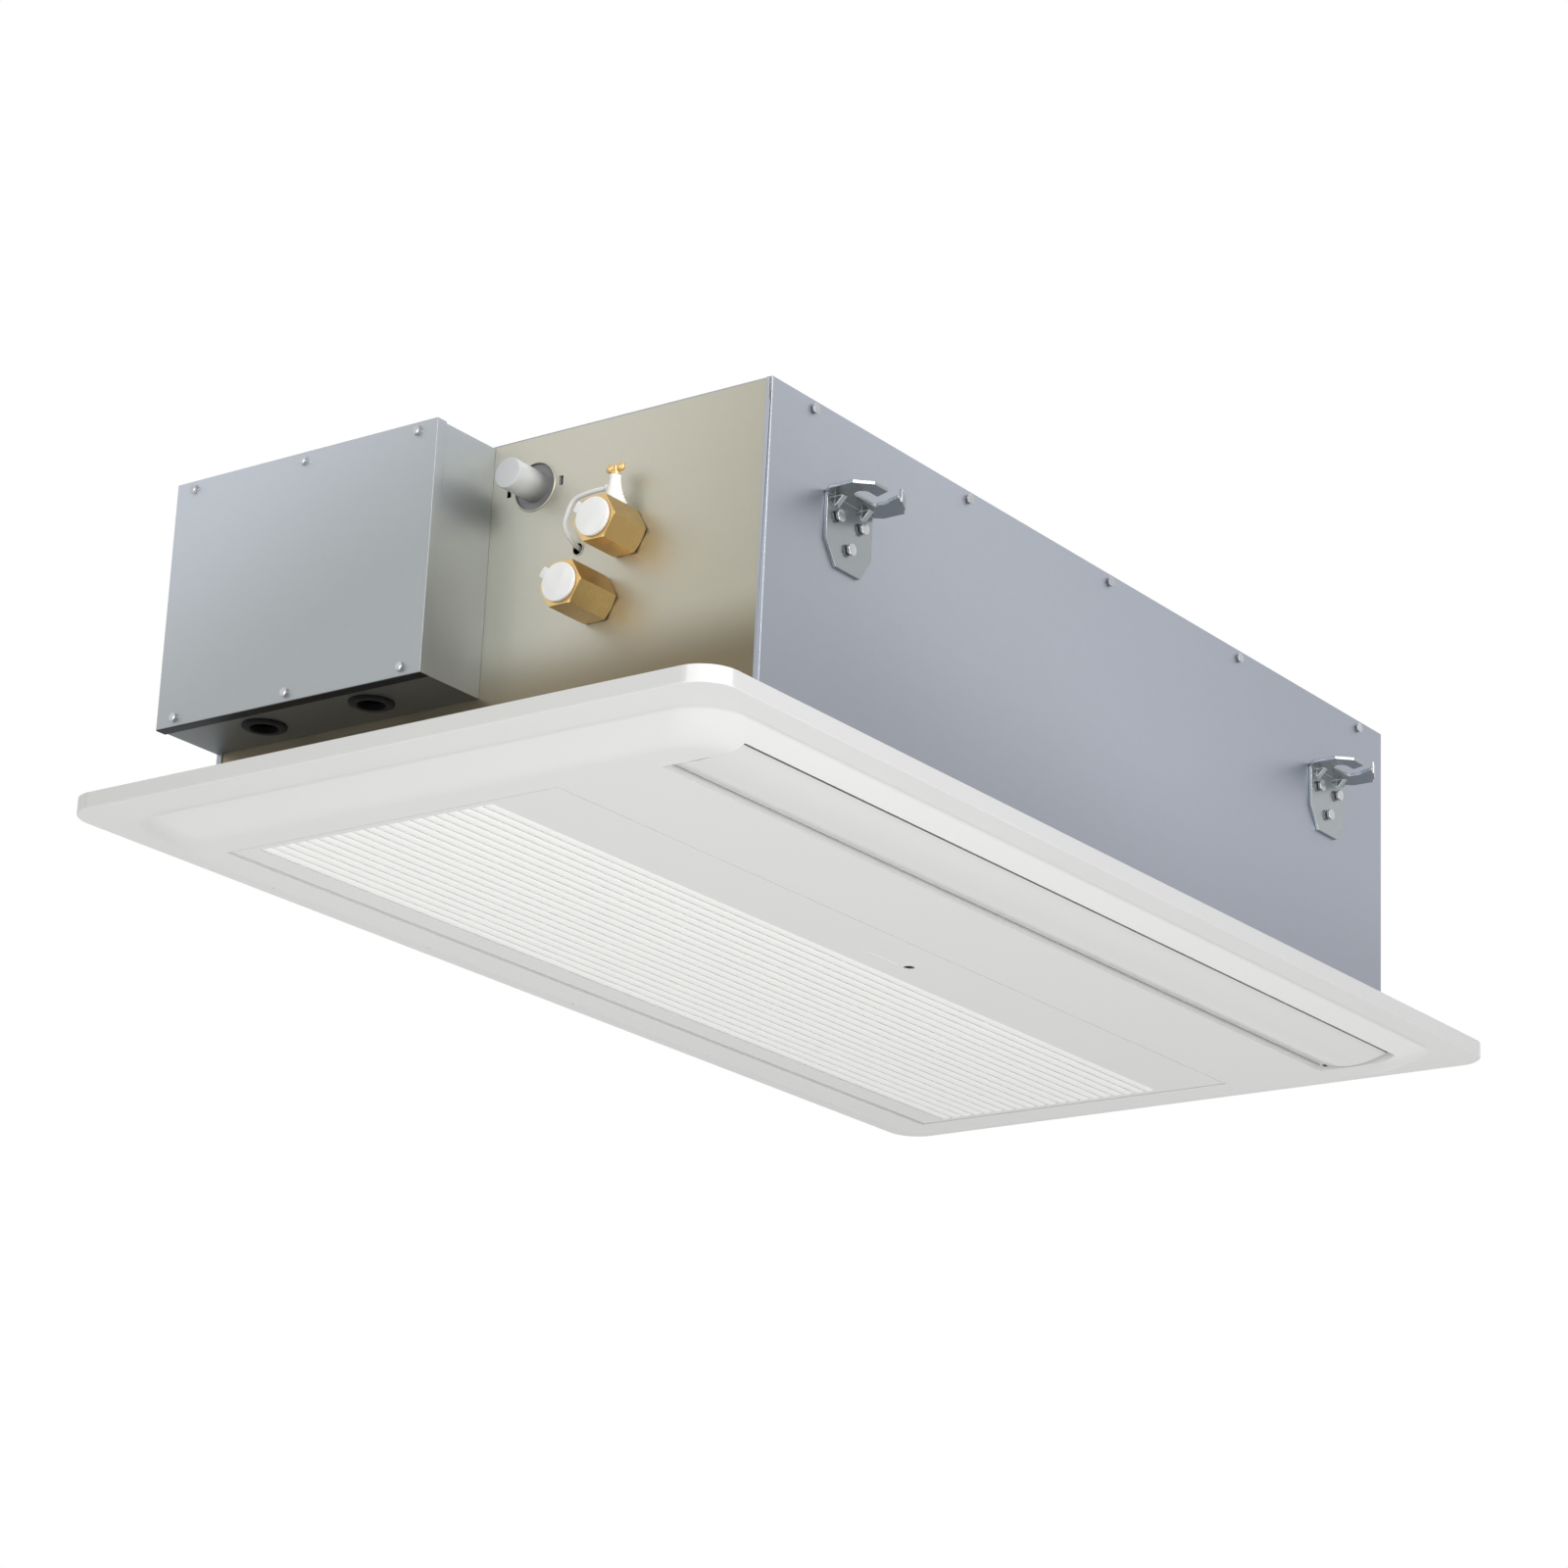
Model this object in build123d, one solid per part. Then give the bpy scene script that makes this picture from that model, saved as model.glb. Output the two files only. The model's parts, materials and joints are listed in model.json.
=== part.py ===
from build123d import *
from math import copysign, cos, dist, hypot, pi, radians, sin, tan
import os

# One-way ceiling cassette fan coil unit, in millimetres.
# X runs along the unit, away from the pipe connections. The air outlet is on the -Y side.
# Z points up, and the origin is the centre of the lowest plane of the fascia.

# Fascia, as seen from the room
PANEL_LENGTH = 1200.0
PANEL_WIDTH = 660.0
PANEL_CORNER = 40.0
RIM_HEIGHT = 14.0
BORDER_X = 38.0
BORDER_Y = 28.0
DROP = 18.0
SLOPE_X = 36.0
SLOPE_Y = 35.0
SLOPE_STEPS = 3
CORNER_STEPS = 5
SKIN = 3.0
RING_WALL = 3.0
DECK = 2.0
FASCIA_RIBS = 5
FASCIA_RIB = 2.0
FASCIA_SCREW_X = 365.0
FASCIA_SCREW_INSET = 14.0
FASCIA_SCREW_GRIP = 6.0

# Casing
CASING_LENGTH = 960.0
CASING_WIDTH = 560.0
CASING_HEIGHT = 280.0
SHEET = 1.0
RETURN = 6.0
FLANGE = 16.0
CORNER_SLIT = 20.0
SEAL = 3.0
SCREW_BELOW_TOP = 8.0
CASING_SCREW_PITCH = 215.0
CASING_SCREWS_SIDE = 5
CASING_SCREW_SHIFT = 5.0
SLIT_WIDTH = 2.0

# Intake door, grille and filter
DOOR_HALF = 497.0
DOOR_NEAR_Y = -104.0
DOOR_FAR_Y = 240.0
DOOR_GAP = 1.4
DOOR_RECESS = 0.3
DOOR_SKIN = 2.7
DOOR_SKIRT = 13.0
HINGE_Z = 4.8
HINGE_PIN_R = 1.5
HINGE_PIN_GRIP = 10.0
HINGE_HOLE = 11.0
GRILLE_NEAR_Y = -33.0
GRILLE_FAR_Y = 213.0
GRILLE_END_MARGIN = 7.0
SLATS = 20
SLAT_GAP = 2.0
SLAT_CROWN = 0.9
GRILLE_RIB = 3.0
GRILLE_RIBS = 4
CROWN_FLAT = 0.35
FILTER_THICK = 4.0
FILTER_BAR = 8.0
FILTER_BARS = 4
MESH = 0.8
LENS_X = 38.0
LENS_Y = -62.0
LENS_R = 5.0
LENS_COLLAR = 3.0
LENS_COLLAR_HEIGHT = 4.0
PAD_LENGTH = 55.0
PAD_WIDTH = 17.0
PAD_DEPTH = 0.5
PAD_INSET = 37.0
CATCH_X = 330.0
CATCH_WIDTH = 18.0
CATCH_LOW_Z = 5.0
CATCH_ABOVE = 4.0
INTAKE_MARGIN = 42.0
INTAKE_NEAR_Y = -5.0
INTAKE_FAR_Y = 224.0

# Air outlet and flap
OUTLET_HALF = 498.0
OUTLET_NEAR_Y = -206.0
OUTLET_FAR_Y = -284.0
FLAP_AXIS_Y = -212.0
FLAP_AXIS_Z = 8.0
FLAP_BARREL_R = 3.5
FLAP_SKIN = 2.5
FLAP_LIP_GAP = 2.5
FLAP_LIP_Z = 10.0
FLAP_BELLY_Z = 0.4
FLAP_END_GAP = 2.5
FLAP_PIN_R = 2.2
BUSH_R = 4.4
FLAP_MOTOR_R = 11.0
FLAP_MOTOR_LENGTH = 16.0
FLAP_MOTOR_OFFSET = 8.0
FLAP_MOTOR_EAR = 17.0
FLAP_MOTOR_EAR_WIDTH = 8.0
FLAP_MOTOR_EAR_THICK = 1.2
THROAT_MARGIN = 25.0
THROAT_LIP = 6.0

# Fits
CLEAR = 0.3
RUN = 0.05

# Sides of the plain turned pieces that carry no fit
FINE = 20
PLAIN = 12
SMALL = 6
BEND_CHORDS = 3

# Hanger brackets
BRACKET_X = 376.0
BRACKET_WIDTH = 61.0
BRACKET_DROP = 60.0
BRACKET_TOP_Z = 243.0
BRACKET_THICK = 3.0
BRACKET_CHAMFER_X = 14.0
BRACKET_CHAMFER_Z = 20.0
SHOULDER = 9.0
FINGER_CORNER = 12.0
FINGER_REACH = 1.0
HOOK_POINT = 8.0
HOOK_SLANT = 14.0
FLANGE_OUT = 43.0
FLANGE_WIDTH = 74.0
SLOT_R = 6.5
SLOT_OUT = 24.0
SLOT_SEAT = -13.0
SLOT_REACH = 6.0
MOUTH_TILT = 18.0
TAB_HEIGHT = 8.0
TAB_LENGTH = 19.0
TAB_BACK = 14.5
TAB_INSET = 6.5
GUSSET = 8.0
GUSSET_X = 18.0
GUSSET_WIDTH = 6.0
BRACKET_SCREW_X = 16.0
BRACKET_SCREW_HIGH = 18.0
BRACKET_SCREW_LOW = 41.0

# Control box on the connection end
BOX_DEPTH = 72.0
BOX_NEAR_Y = -3.0
BOX_FAR_Y = 280.0
BOX_BOTTOM_Z = 95.0
BOX_TOP_Z = 311.0
BOX_LIP = 12.0
COVER_FLANGE = 10.0
BOX_SCREW_INSET_Y = 20.0
BOX_SCREW_INSET_Z = 8.0
CABLE_HOLE_R = 16.0
CABLE_BORE_R = 12.0
CABLE_FLANGE_R = 18.8
CABLE_FLANGE = 2.5
CABLE_X = -515.0
CABLE_Y = (79.0, 194.0)
BOX_SCREW_SHANK = 7.0
BOARD = 1.6
BOARD_POST = 8.0
BOARD_POST_R = 3.0
BOARD_Y = (130.0, 262.0)
BOARD_Z = (140.0, 285.0)
BOARD_POST_INSET = 8.0
RELAYS = 4
RELAY_PITCH = 28.0
RELAY_HEIGHT = 15.4
RELAY_WIDTH = 20.0
RELAY_LENGTH = 28.0
PLUG_HEIGHT = 11.4
PLUG_LENGTH = 50.0
PLUG_WIDTH = 12.0
POLES = 8
POLE_PITCH = 10.0
POLE_GROOVE = 2.0
TERMINAL_Y = 20.0
TERMINAL_Z = 130.0
TERMINAL_STEPS = ((0, 0), (22, 0), (22, 12), (30, 16), (30, 28), (22, 32), (22, 42), (0, 42))
CAPACITOR_R = 17.0
CAPACITOR_LENGTH = 72.0
CAPACITOR_Y = 60.0
CAPACITOR_Z = 205.0
CLIP_BACK = 3.0
CLIP_WIDTH = 24.0
CLIP_HEIGHT = 20.0

# Screws
SCREW_R = 2.0
SCREW_HEAD_AF = 7.0
SCREW_HEAD = 3.0
BRACKET_SCREW_R = 2.5
BRACKET_HEAD_AF = 8.5
BRACKET_HEAD = 4.0

# Water connections
COUPLING_AF = 36.0
COUPLING_BORE_R = 12.05
COUPLING_BORE_DEPTH = 18.0
COUPLING_SHANK_R = 14.0
COUPLING_CHAMFER = 1.5
HEADER_BITE = 2.0
COUPLING_MOUTH_R = 14.0
COUPLING_MOUTH = 6.0
UPPER_Y = -143.0
UPPER_Z = 208.0
LOWER_Y = -117.0
LOWER_Z = 157.0
UPPER_REACH = 40.0
LOWER_REACH = 45.0
CAP_R = 16.0
CAP_THICK = 3.0
CAP_PLUG = 5.0
CAP_WALL = 2.0
TAB_ANGLE = 35.0
CAP_TAB_LENGTH = 12.0
CAP_TAB_WIDTH = 9.0
CAP_TAB_CORNER = 2.0
VENT_X = -497.0
VENT_BASE_R = 6.5
VENT_TOP_R = 4.3
VENT_HEIGHT = 25.0
VENT_SCREW_R = 2.0
VENT_TAP = 3.0
VENT_BORE = 12.0
VENT_STEM = 10.0
VENT_COLLAR_R = 4.0
VENT_COLLAR = 3.0
VENT_WING_THICK = 4.0
VENT_WING_HEIGHT = 5.0
VENT_WING_ROUND = 2.0
VENT_SIDE_R = 3.2
VENT_WING = 17.5
VENT_TUBE_R = 2.0
VENT_SIDE = 16.0
VENT_SIDE_REACH = 8.0
VENT_HOLE_R = 4.75
VENT_HOLE_Y = -94.6
VENT_HOLE_Z = 205.0

# Condensate discharge
SPIGOT_Y = -46.0
SPIGOT_Z = 268.0
SPIGOT_R = 13.0
SPIGOT_BORE_R = 5.0
SPIGOT_END = 2.0
SPIGOT_REACH = 34.0
SPIGOT_HOLE_R = 20.0
SPIGOT_FLANGE_R = 26.0
SPIGOT_SLOT = 26.5
SPIGOT_FLANGE = 3.0
SPIGOT_TAIL = 12.0
SPIGOT_SLOT_LENGTH = 8.0
SPIGOT_SLOT_WIDTH = 4.5
HOSE_WALL = 1.5
HOSE_R = 9.0
PUMP_R = 17.0
PUMP_BODY = 44.0
PUMP_FOOT = 6.0
PUMP_NIPPLE = 16.0
PUMP_FEET = 3
PUMP_FOOT_R = 3.0
PUMP_FOOT_PLACE = 9.0
HOSE_RISE = 55.0
HOSE_DROP = 50.0
PUMP_X = -431.0
PUMP_Y = -50.0

# Coil
COIL_LENGTH = 820.0
COIL_THICK = 44.0
TUBE_PITCH = 38.0
TUBES = 6
ROW_PITCH = 22.0
TUBE_R = 4.8
HEADER_R = 11.0
HEADER_X = -450.0
END_PLATE = 1.5
END_PLATE_FOOT = 24.0
END_PLATE_ARM = 18.0
HEADER_END = 14.0
FIN_GROOVES = 8
FIN_GROOVE = 2.0
FIN_GROOVE_DEEP = 3.0

# Drain pan and liner
PAN_NEAR_Y = -26.0
PAN_FAR_Y = -199.0
PAN_HEIGHT = 26.0
PAN_WALL = 3.0
PAN_MARGIN = 22.0
PAN_CORNER = 10.0
LINER_FRONT = 11.0
LINER_TOP = 20.0
LINER_ROUND = 20.0
LINER_SIDE = 4.0

# Fans
FAN_Y = 125.0
FAN_Z = 178.0
FAN_X = 240.0
WHEEL_R = 62.0
WHEEL_INNER_R = 50.0
WHEEL_WIDTH = 110.0
WHEEL_PLATE = 2.0
BLADES = 12
BLADE_SWEEP = 12.0
BLADE_THICK_DEG = 1.1
BLADE_BOW = 0.22
BLADE_INSET = 1.0
SHAFT_R = 6.0
HUB_R = 14.0
HUB_LENGTH = 22.0
SHAFT_END = 4.0
HUB_HOLE_GAP = 10.0
SCROLL_STEP = 12.0
SCROLL_GAP = 10.0
SCROLL_WALL = 2.0
SCROLL_CHORDS = 4
SCROLL_SIDE_GAP = 8.0
TONGUE_ANGLE = 130.0
SCROLL_FLANGE = 9.0
MOTOR_R = 52.0
MOTOR_LENGTH = 140.0
MOTOR_CHAMFER = 8.0
MOTOR_BOSS_R = 18.0
MOTOR_BOSS = 8.0
STRAP = 2.0
STRAP_WIDTH = 50.0
STRAP_FOOT = 22.0
DECK_PLATE_Y = -12.0
DECK_PLATE = 1.2

# Worked out from the sizes above
rim_top = DROP + RIM_HEIGHT
casing_bottom = rim_top
casing_top = casing_bottom + CASING_HEIGHT
case_x = CASING_LENGTH / 2
case_y = CASING_WIDTH / 2
deck_top = rim_top - SEAL
deck_bottom = deck_top - DECK
door_z = DOOR_RECESS
hinge_y = DOOR_FAR_Y - (HINGE_Z - DOOR_RECESS)
intake_half = case_x - INTAKE_MARGIN
throat_half = case_x - THROAT_MARGIN
throat_near_y = OUTLET_NEAR_Y - THROAT_LIP
throat_far_y = -case_y + 2 * SHEET + LINER_FRONT
lean = hypot(UPPER_Y - LOWER_Y, UPPER_Z - LOWER_Z)
up_y = (UPPER_Y - LOWER_Y) / lean
up_z = (UPPER_Z - LOWER_Z) / lean
out_y = up_z
out_z = -up_y
header_y = (UPPER_Y + LOWER_Y) / 2
header_z = (UPPER_Z + LOWER_Z) / 2
coil_y = header_y - out_y * ROW_PITCH / 2
coil_z = header_z - out_z * ROW_PITCH / 2
coil_half = COIL_LENGTH / 2
coil_reach = TUBES * TUBE_PITCH / 2
scroll_width = WHEEL_WIDTH + 2 * SCROLL_SIDE_GAP + 2 * SCROLL_WALL


def block(x0, x1, y0, y1, z0, z1):
    """A box between two corners."""
    return Pos((x0 + x1) / 2, (y0 + y1) / 2, (z0 + z1) / 2) * Box(abs(x1 - x0), abs(y1 - y0), abs(z1 - z0))


def rod(point, axis, radius, length, sides=0):
    """A bar that starts at a point and runs along an axis, round or with a number of flat sides."""
    section = RegularPolygon(radius, sides) if sides else Circle(radius)
    return extrude(Plane(point, z_dir=axis) * section, length, dir=axis)


def pipe(point, axis, radius, bore, length, sides=0, bore_sides=0):
    """A bar with a bore right through."""
    return rod(point, axis, radius, length, sides) - hole(point, axis, bore, length, bore_sides)


def prism_x(outline, x0, x1):
    """A closed outline of (y, z) points, extruded along X."""
    points = [(0, y, z) for y, z in outline]
    face = make_face(Polyline(*points, close=True))
    return extrude(Pos(x0, 0, 0) * face, x1 - x0, dir=(1, 0, 0))


def prism_y(outline, y0, y1):
    """A closed outline of (x, z) points, extruded along Y."""
    points = [(x, 0, z) for x, z in outline]
    face = make_face(Polyline(*points, close=True))
    return extrude(Pos(0, y0, 0) * face, y1 - y0, dir=(0, 1, 0))


def prism_z(outline, z0, z1):
    """A closed outline of (x, y) points, extruded along Z."""
    points = [(x, y, 0) for x, y in outline]
    face = make_face(Polyline(*points, close=True))
    return extrude(Pos(0, 0, z0) * face, z1 - z0, dir=(0, 0, 1))


def soft_tube(points, radius, node):
    """A tube along runs joined by bends of a few chords, with the bends' radii printed."""
    vectors = [Vector(*point) for point in points]
    radii = []
    path = [vectors[0]]
    for before, here, after in zip(vectors, vectors[1:], vectors[2:]):
        run_in = here - before
        run_out = after - here
        half_turn = radians(run_in.get_angle(run_out)) / 2
        reach = 0.45 * min(run_in.length, run_out.length)
        radii.append(reach / tan(half_turn))
        start = here - run_in.normalized() * reach
        end = here + run_out.normalized() * reach
        for index in range(BEND_CHORDS + 1):
            share = index / BEND_CHORDS
            path.append(start * (1 - share) ** 2 + here * (2 * share * (1 - share)) + end * share ** 2)
    print(node, "bend radii", [round(value, 1) for value in radii])
    section = Plane(vectors[0], z_dir=vectors[1] - vectors[0]) * RegularPolygon(radius, SMALL)
    return sweep(section, path=Polyline(*path, vectors[-1]), transition=Transition.RIGHT)


def hex_screw(point, axis, across_flats, head, shank_r, shank):
    """A hexagon head that sits at a point, with its shank going in along the axis."""
    seat = Plane(point, z_dir=axis)
    head_solid = extrude(seat * RegularPolygon(across_flats / 2, 6, major_radius=False), -head)
    return head_solid + extrude(seat * RegularPolygon(shank_r, SMALL), shank)


def hole(point, axis, radius, depth, sides=0):
    """A cutter that starts a little before its point; flat sides touch the radius."""
    back = Vector(*point) - Vector(*axis) * depth
    section = RegularPolygon(radius, sides, major_radius=False) if sides else Circle(radius)
    return extrude(Plane(back, z_dir=axis) * section, 2 * depth, dir=axis)


def tray_band(step):
    """The outline of the fascia's slope at one of its steps, as length, width, corner and height."""
    share = step / SLOPE_STEPS
    drop = (1 - cos(pi * share)) / 2
    length = PANEL_LENGTH - 2 * BORDER_X - 2 * SLOPE_X * share
    width = PANEL_WIDTH - 2 * BORDER_Y - 2 * SLOPE_Y * share
    return length, width, PANEL_CORNER, DROP * (1 - drop)


def faceted_rectangle(length, width, corner):
    """A rectangle whose corners turn in a few flats."""
    points = []
    for quarter, (right, top) in enumerate(((1, 1), (-1, 1), (-1, -1), (1, -1))):
        x = right * (length / 2 - corner)
        y = top * (width / 2 - corner)
        for step in range(CORNER_STEPS + 1):
            turn = pi / 2 * (quarter + step / CORNER_STEPS)
            points.append((x + corner * cos(turn), y + corner * sin(turn)))
    return make_face(Polyline(*points, close=True))


def fascia_body(grow):
    """The dished fascia as a solid, its skin moved inwards by grow."""
    rim = faceted_rectangle(PANEL_LENGTH - 2 * grow, PANEL_WIDTH - 2 * grow, PANEL_CORNER - grow)
    body = extrude(Pos(0, 0, DROP + grow) * rim, RIM_HEIGHT)
    for step in range(SLOPE_STEPS):
        bands = []
        for length, width, corner, z in (tray_band(step + 1), tray_band(step)):
            band = faceted_rectangle(length - 2 * grow, width - 2 * grow, corner - grow)
            bands.append(Pos(0, 0, z + grow) * band)
        body += loft(bands, ruled=True)
    return body


def fascia_frame():
    """The moulded fascia: rim, border, slope, floor, walls round both openings and the deck."""
    outer = fascia_body(0)
    inner = fascia_body(SKIN)
    shell = outer - inner
    door_wall = door_opening(RING_WALL, 0, deck_top)
    outlet_wall = outlet_opening(RING_WALL, 0, deck_top)
    deck = block(-OUTLET_HALF - RING_WALL, OUTLET_HALF + RING_WALL, -case_y, case_y, deck_bottom, deck_top)
    body = shell + ((door_wall + outlet_wall) & outer) + deck
    body -= door_opening(0, -1, deck_bottom)
    body -= outlet_opening(0, -1, deck_bottom)
    body -= block(-intake_half, intake_half, INTAKE_NEAR_Y, INTAKE_FAR_Y, deck_bottom - 1, deck_top + 1)
    body -= block(-throat_half, throat_half, throat_near_y, throat_far_y, deck_bottom - 1, deck_top + 1)
    for x in rib_places():
        body += stiffening_rib(x) & inner
    for side in (-1, 1):
        wall_x = side * (OUTLET_HALF - 1)
        reach = (side, 0, 0)
        body -= rod((wall_x, FLAP_AXIS_Y, FLAP_AXIS_Z), reach, BUSH_R, RING_WALL + 2, PLAIN)
        body -= rod((wall_x, hinge_y, HINGE_Z), reach, HINGE_PIN_R, RING_WALL + 2, PLAIN)
    for x, y in fascia_screw_places():
        body -= hole((x, y, deck_top), (0, 0, -1), SCREW_R + CLEAR, 5, SMALL)
    return body


def door_opening(grow, z0, z1):
    """The room taken by the intake door's opening, grown on all sides."""
    reach = DOOR_HALF + DOOR_GAP + grow
    return block(-reach, reach, DOOR_NEAR_Y - DOOR_GAP - grow, DOOR_FAR_Y + DOOR_GAP + grow, z0, z1)


def outlet_opening(grow, z0, z1):
    """The room taken by the air outlet's opening, grown on all sides."""
    reach = OUTLET_HALF + grow
    return block(-reach, reach, OUTLET_FAR_Y - grow, OUTLET_NEAR_Y + grow, z0, z1)


def rib_places():
    """The places along X of the ribs that stiffen the fascia's long borders."""
    pitch = PANEL_LENGTH / (FASCIA_RIBS + 1)
    return [pitch * (index + 1) - PANEL_LENGTH / 2 for index in range(FASCIA_RIBS)]


def stiffening_rib(x):
    """A rib from the door opening's far wall to the fascia's slope."""
    far = DOOR_FAR_Y + DOOR_GAP + RING_WALL
    return block(x - FASCIA_RIB / 2, x + FASCIA_RIB / 2, far, PANEL_WIDTH / 2 - BORDER_Y, 0, DROP + SKIN)


def fascia_screw_places():
    """The places of the screws that hold the fascia up to the casing."""
    row_far = (INTAKE_FAR_Y + DOOR_FAR_Y) / 2
    row_near = INTAKE_NEAR_Y - FASCIA_SCREW_INSET
    return [(x, y) for x in (-FASCIA_SCREW_X, FASCIA_SCREW_X) for y in (row_near, row_far)]


def fascia_screws():
    """Screws from the fascia's deck up into the casing's base."""
    shank = SEAL + DECK + FASCIA_SCREW_GRIP
    return [hex_screw((x, y, deck_bottom), (0, 0, 1), SCREW_HEAD_AF, SCREW_HEAD, SCREW_R, shank)
            for x, y in fascia_screw_places()]


def fascia_seal():
    """The foam strip between the fascia's deck and the casing's base."""
    seal = block(-case_x, case_x, -case_y, case_y, deck_top, casing_bottom)
    seal -= block(-intake_half, intake_half, INTAKE_NEAR_Y, INTAKE_FAR_Y, deck_top, casing_bottom)
    seal -= block(-throat_half, throat_half, throat_near_y, throat_far_y, deck_top, casing_bottom)
    for x, y in fascia_screw_places():
        seal -= hole((x, y, deck_top), (0, 0, 1), SCREW_R + CLEAR, 5, SMALL)
    return seal


def intake_door():
    """The hinged door: a skin with a skirt, a rolled far edge, and the window for the grille."""
    top = door_z + DOOR_SKIRT
    roll = HINGE_Z - DOOR_RECESS
    body = block(-DOOR_HALF, DOOR_HALF, DOOR_NEAR_Y, hinge_y, door_z, top)
    body -= block(-DOOR_HALF + SKIN, DOOR_HALF - SKIN, DOOR_NEAR_Y + SKIN, hinge_y + 1, door_z + DOOR_SKIN, top)
    body += rod((-DOOR_HALF, hinge_y, HINGE_Z), (1, 0, 0), roll, 2 * DOOR_HALF, PLAIN)
    window_x = DOOR_HALF - GRILLE_END_MARGIN
    body -= block(-window_x, window_x, GRILLE_NEAR_Y, GRILLE_FAR_Y, 0, top)
    body -= Pos(0, DOOR_NEAR_Y + PAD_INSET, door_z) * Box(PAD_LENGTH, PAD_WIDTH, 2 * PAD_DEPTH)
    body -= rod((LENS_X, LENS_Y, -1), (0, 0, 1), LENS_R, top, PLAIN)
    for side in (-1, 1):
        end = (side * DOOR_HALF, hinge_y, HINGE_Z)
        body -= hole(end, (-side, 0, 0), HINGE_PIN_R + RUN, HINGE_HOLE, PLAIN)
    return body


def door_hinge_pins():
    """Two pins that are fixed in the fascia and carry the door's far edge."""
    start = DOOR_HALF + DOOR_GAP + RING_WALL
    length = DOOR_GAP + RING_WALL + HINGE_PIN_GRIP
    return [rod((side * start, hinge_y, HINGE_Z), (-side, 0, 0), HINGE_PIN_R, length, PLAIN)
            for side in (-1, 1)]


def slat_pitch():
    """The distance from one grille slat to the next."""
    return (GRILLE_FAR_Y - GRILLE_NEAR_Y) / SLATS


def intake_grille():
    """Crowned slats along the door, joined by cross ribs behind them."""
    half = DOOR_HALF - GRILLE_END_MARGIN
    pitch = slat_pitch()
    width = pitch - SLAT_GAP
    z = door_z + SLAT_CROWN
    thick = DOOR_SKIN - SLAT_CROWN
    grille = []
    for index in range(SLATS):
        y = GRILLE_NEAR_Y + pitch * (index + 0.5)
        flat = width * CROWN_FLAT / 2
        outline = [(y - width / 2, z), (y - flat, door_z), (y + flat, door_z), (y + width / 2, z),
                   (y + width / 2, z + thick), (y - width / 2, z + thick)]
        grille.append(prism_x(outline, -half, half))
    rib_z = door_z + DOOR_SKIN
    step = 2 * (half - GRILLE_RIB / 2) / (GRILLE_RIBS - 1)
    for index in range(GRILLE_RIBS):
        x = -half + GRILLE_RIB / 2 + step * index
        grille.append(block(x - GRILLE_RIB / 2, x + GRILLE_RIB / 2, GRILLE_NEAR_Y, GRILLE_FAR_Y,
                            rib_z, rib_z + GRILLE_RIB))
    body = grille[0]
    for piece in grille[1:]:
        body += piece
    return body


def filter_frame():
    """The lattice that holds the filter cloth on the back of the grille."""
    half = DOOR_HALF - GRILLE_END_MARGIN
    z0 = door_z + DOOR_SKIN + GRILLE_RIB
    z1 = z0 + FILTER_THICK
    frame = block(-half, half, GRILLE_NEAR_Y, GRILLE_FAR_Y, z0, z1)
    cell = (2 * half - FILTER_BAR) / FILTER_BARS
    for index in range(FILTER_BARS):
        x = -half + FILTER_BAR + cell * index
        frame -= block(x, x + cell - FILTER_BAR, GRILLE_NEAR_Y + FILTER_BAR, GRILLE_FAR_Y - FILTER_BAR,
                       z0, z1)
    return frame


def filter_mesh():
    """The filter cloth, laid on its frame."""
    half = DOOR_HALF - GRILLE_END_MARGIN - FILTER_BAR / 2
    inset = FILTER_BAR / 2
    z0 = door_z + DOOR_SKIN + GRILLE_RIB + FILTER_THICK
    return block(-half, half, GRILLE_NEAR_Y + inset, GRILLE_FAR_Y - inset, z0, z0 + MESH)


def sensor_lens():
    """The dark lens in the door, with a collar behind the skin."""
    lens = rod((LENS_X, LENS_Y, door_z), (0, 0, 1), LENS_R, DOOR_SKIN, PLAIN)
    back = (LENS_X, LENS_Y, door_z + DOOR_SKIN)
    return lens + rod(back, (0, 0, 1), LENS_R + LENS_COLLAR, LENS_COLLAR_HEIGHT, PLAIN)


def door_catches():
    """Two sprung clips in the fascia that grip the door's near skirt."""
    wall = DOOR_NEAR_Y - DOOR_GAP
    z0 = CATCH_LOW_Z
    z1 = door_z + DOOR_SKIRT + CATCH_ABOVE
    tip = DOOR_NEAR_Y - CLEAR
    lip = wall + DOOR_GAP / 3
    outline = [(wall, z0), (wall, z1), (lip, z1), (tip, (z0 + z1) / 2), (lip, z0)]
    return [prism_x(outline, x - CATCH_WIDTH / 2, x + CATCH_WIDTH / 2) for x in (-CATCH_X, CATCH_X)]


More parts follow.
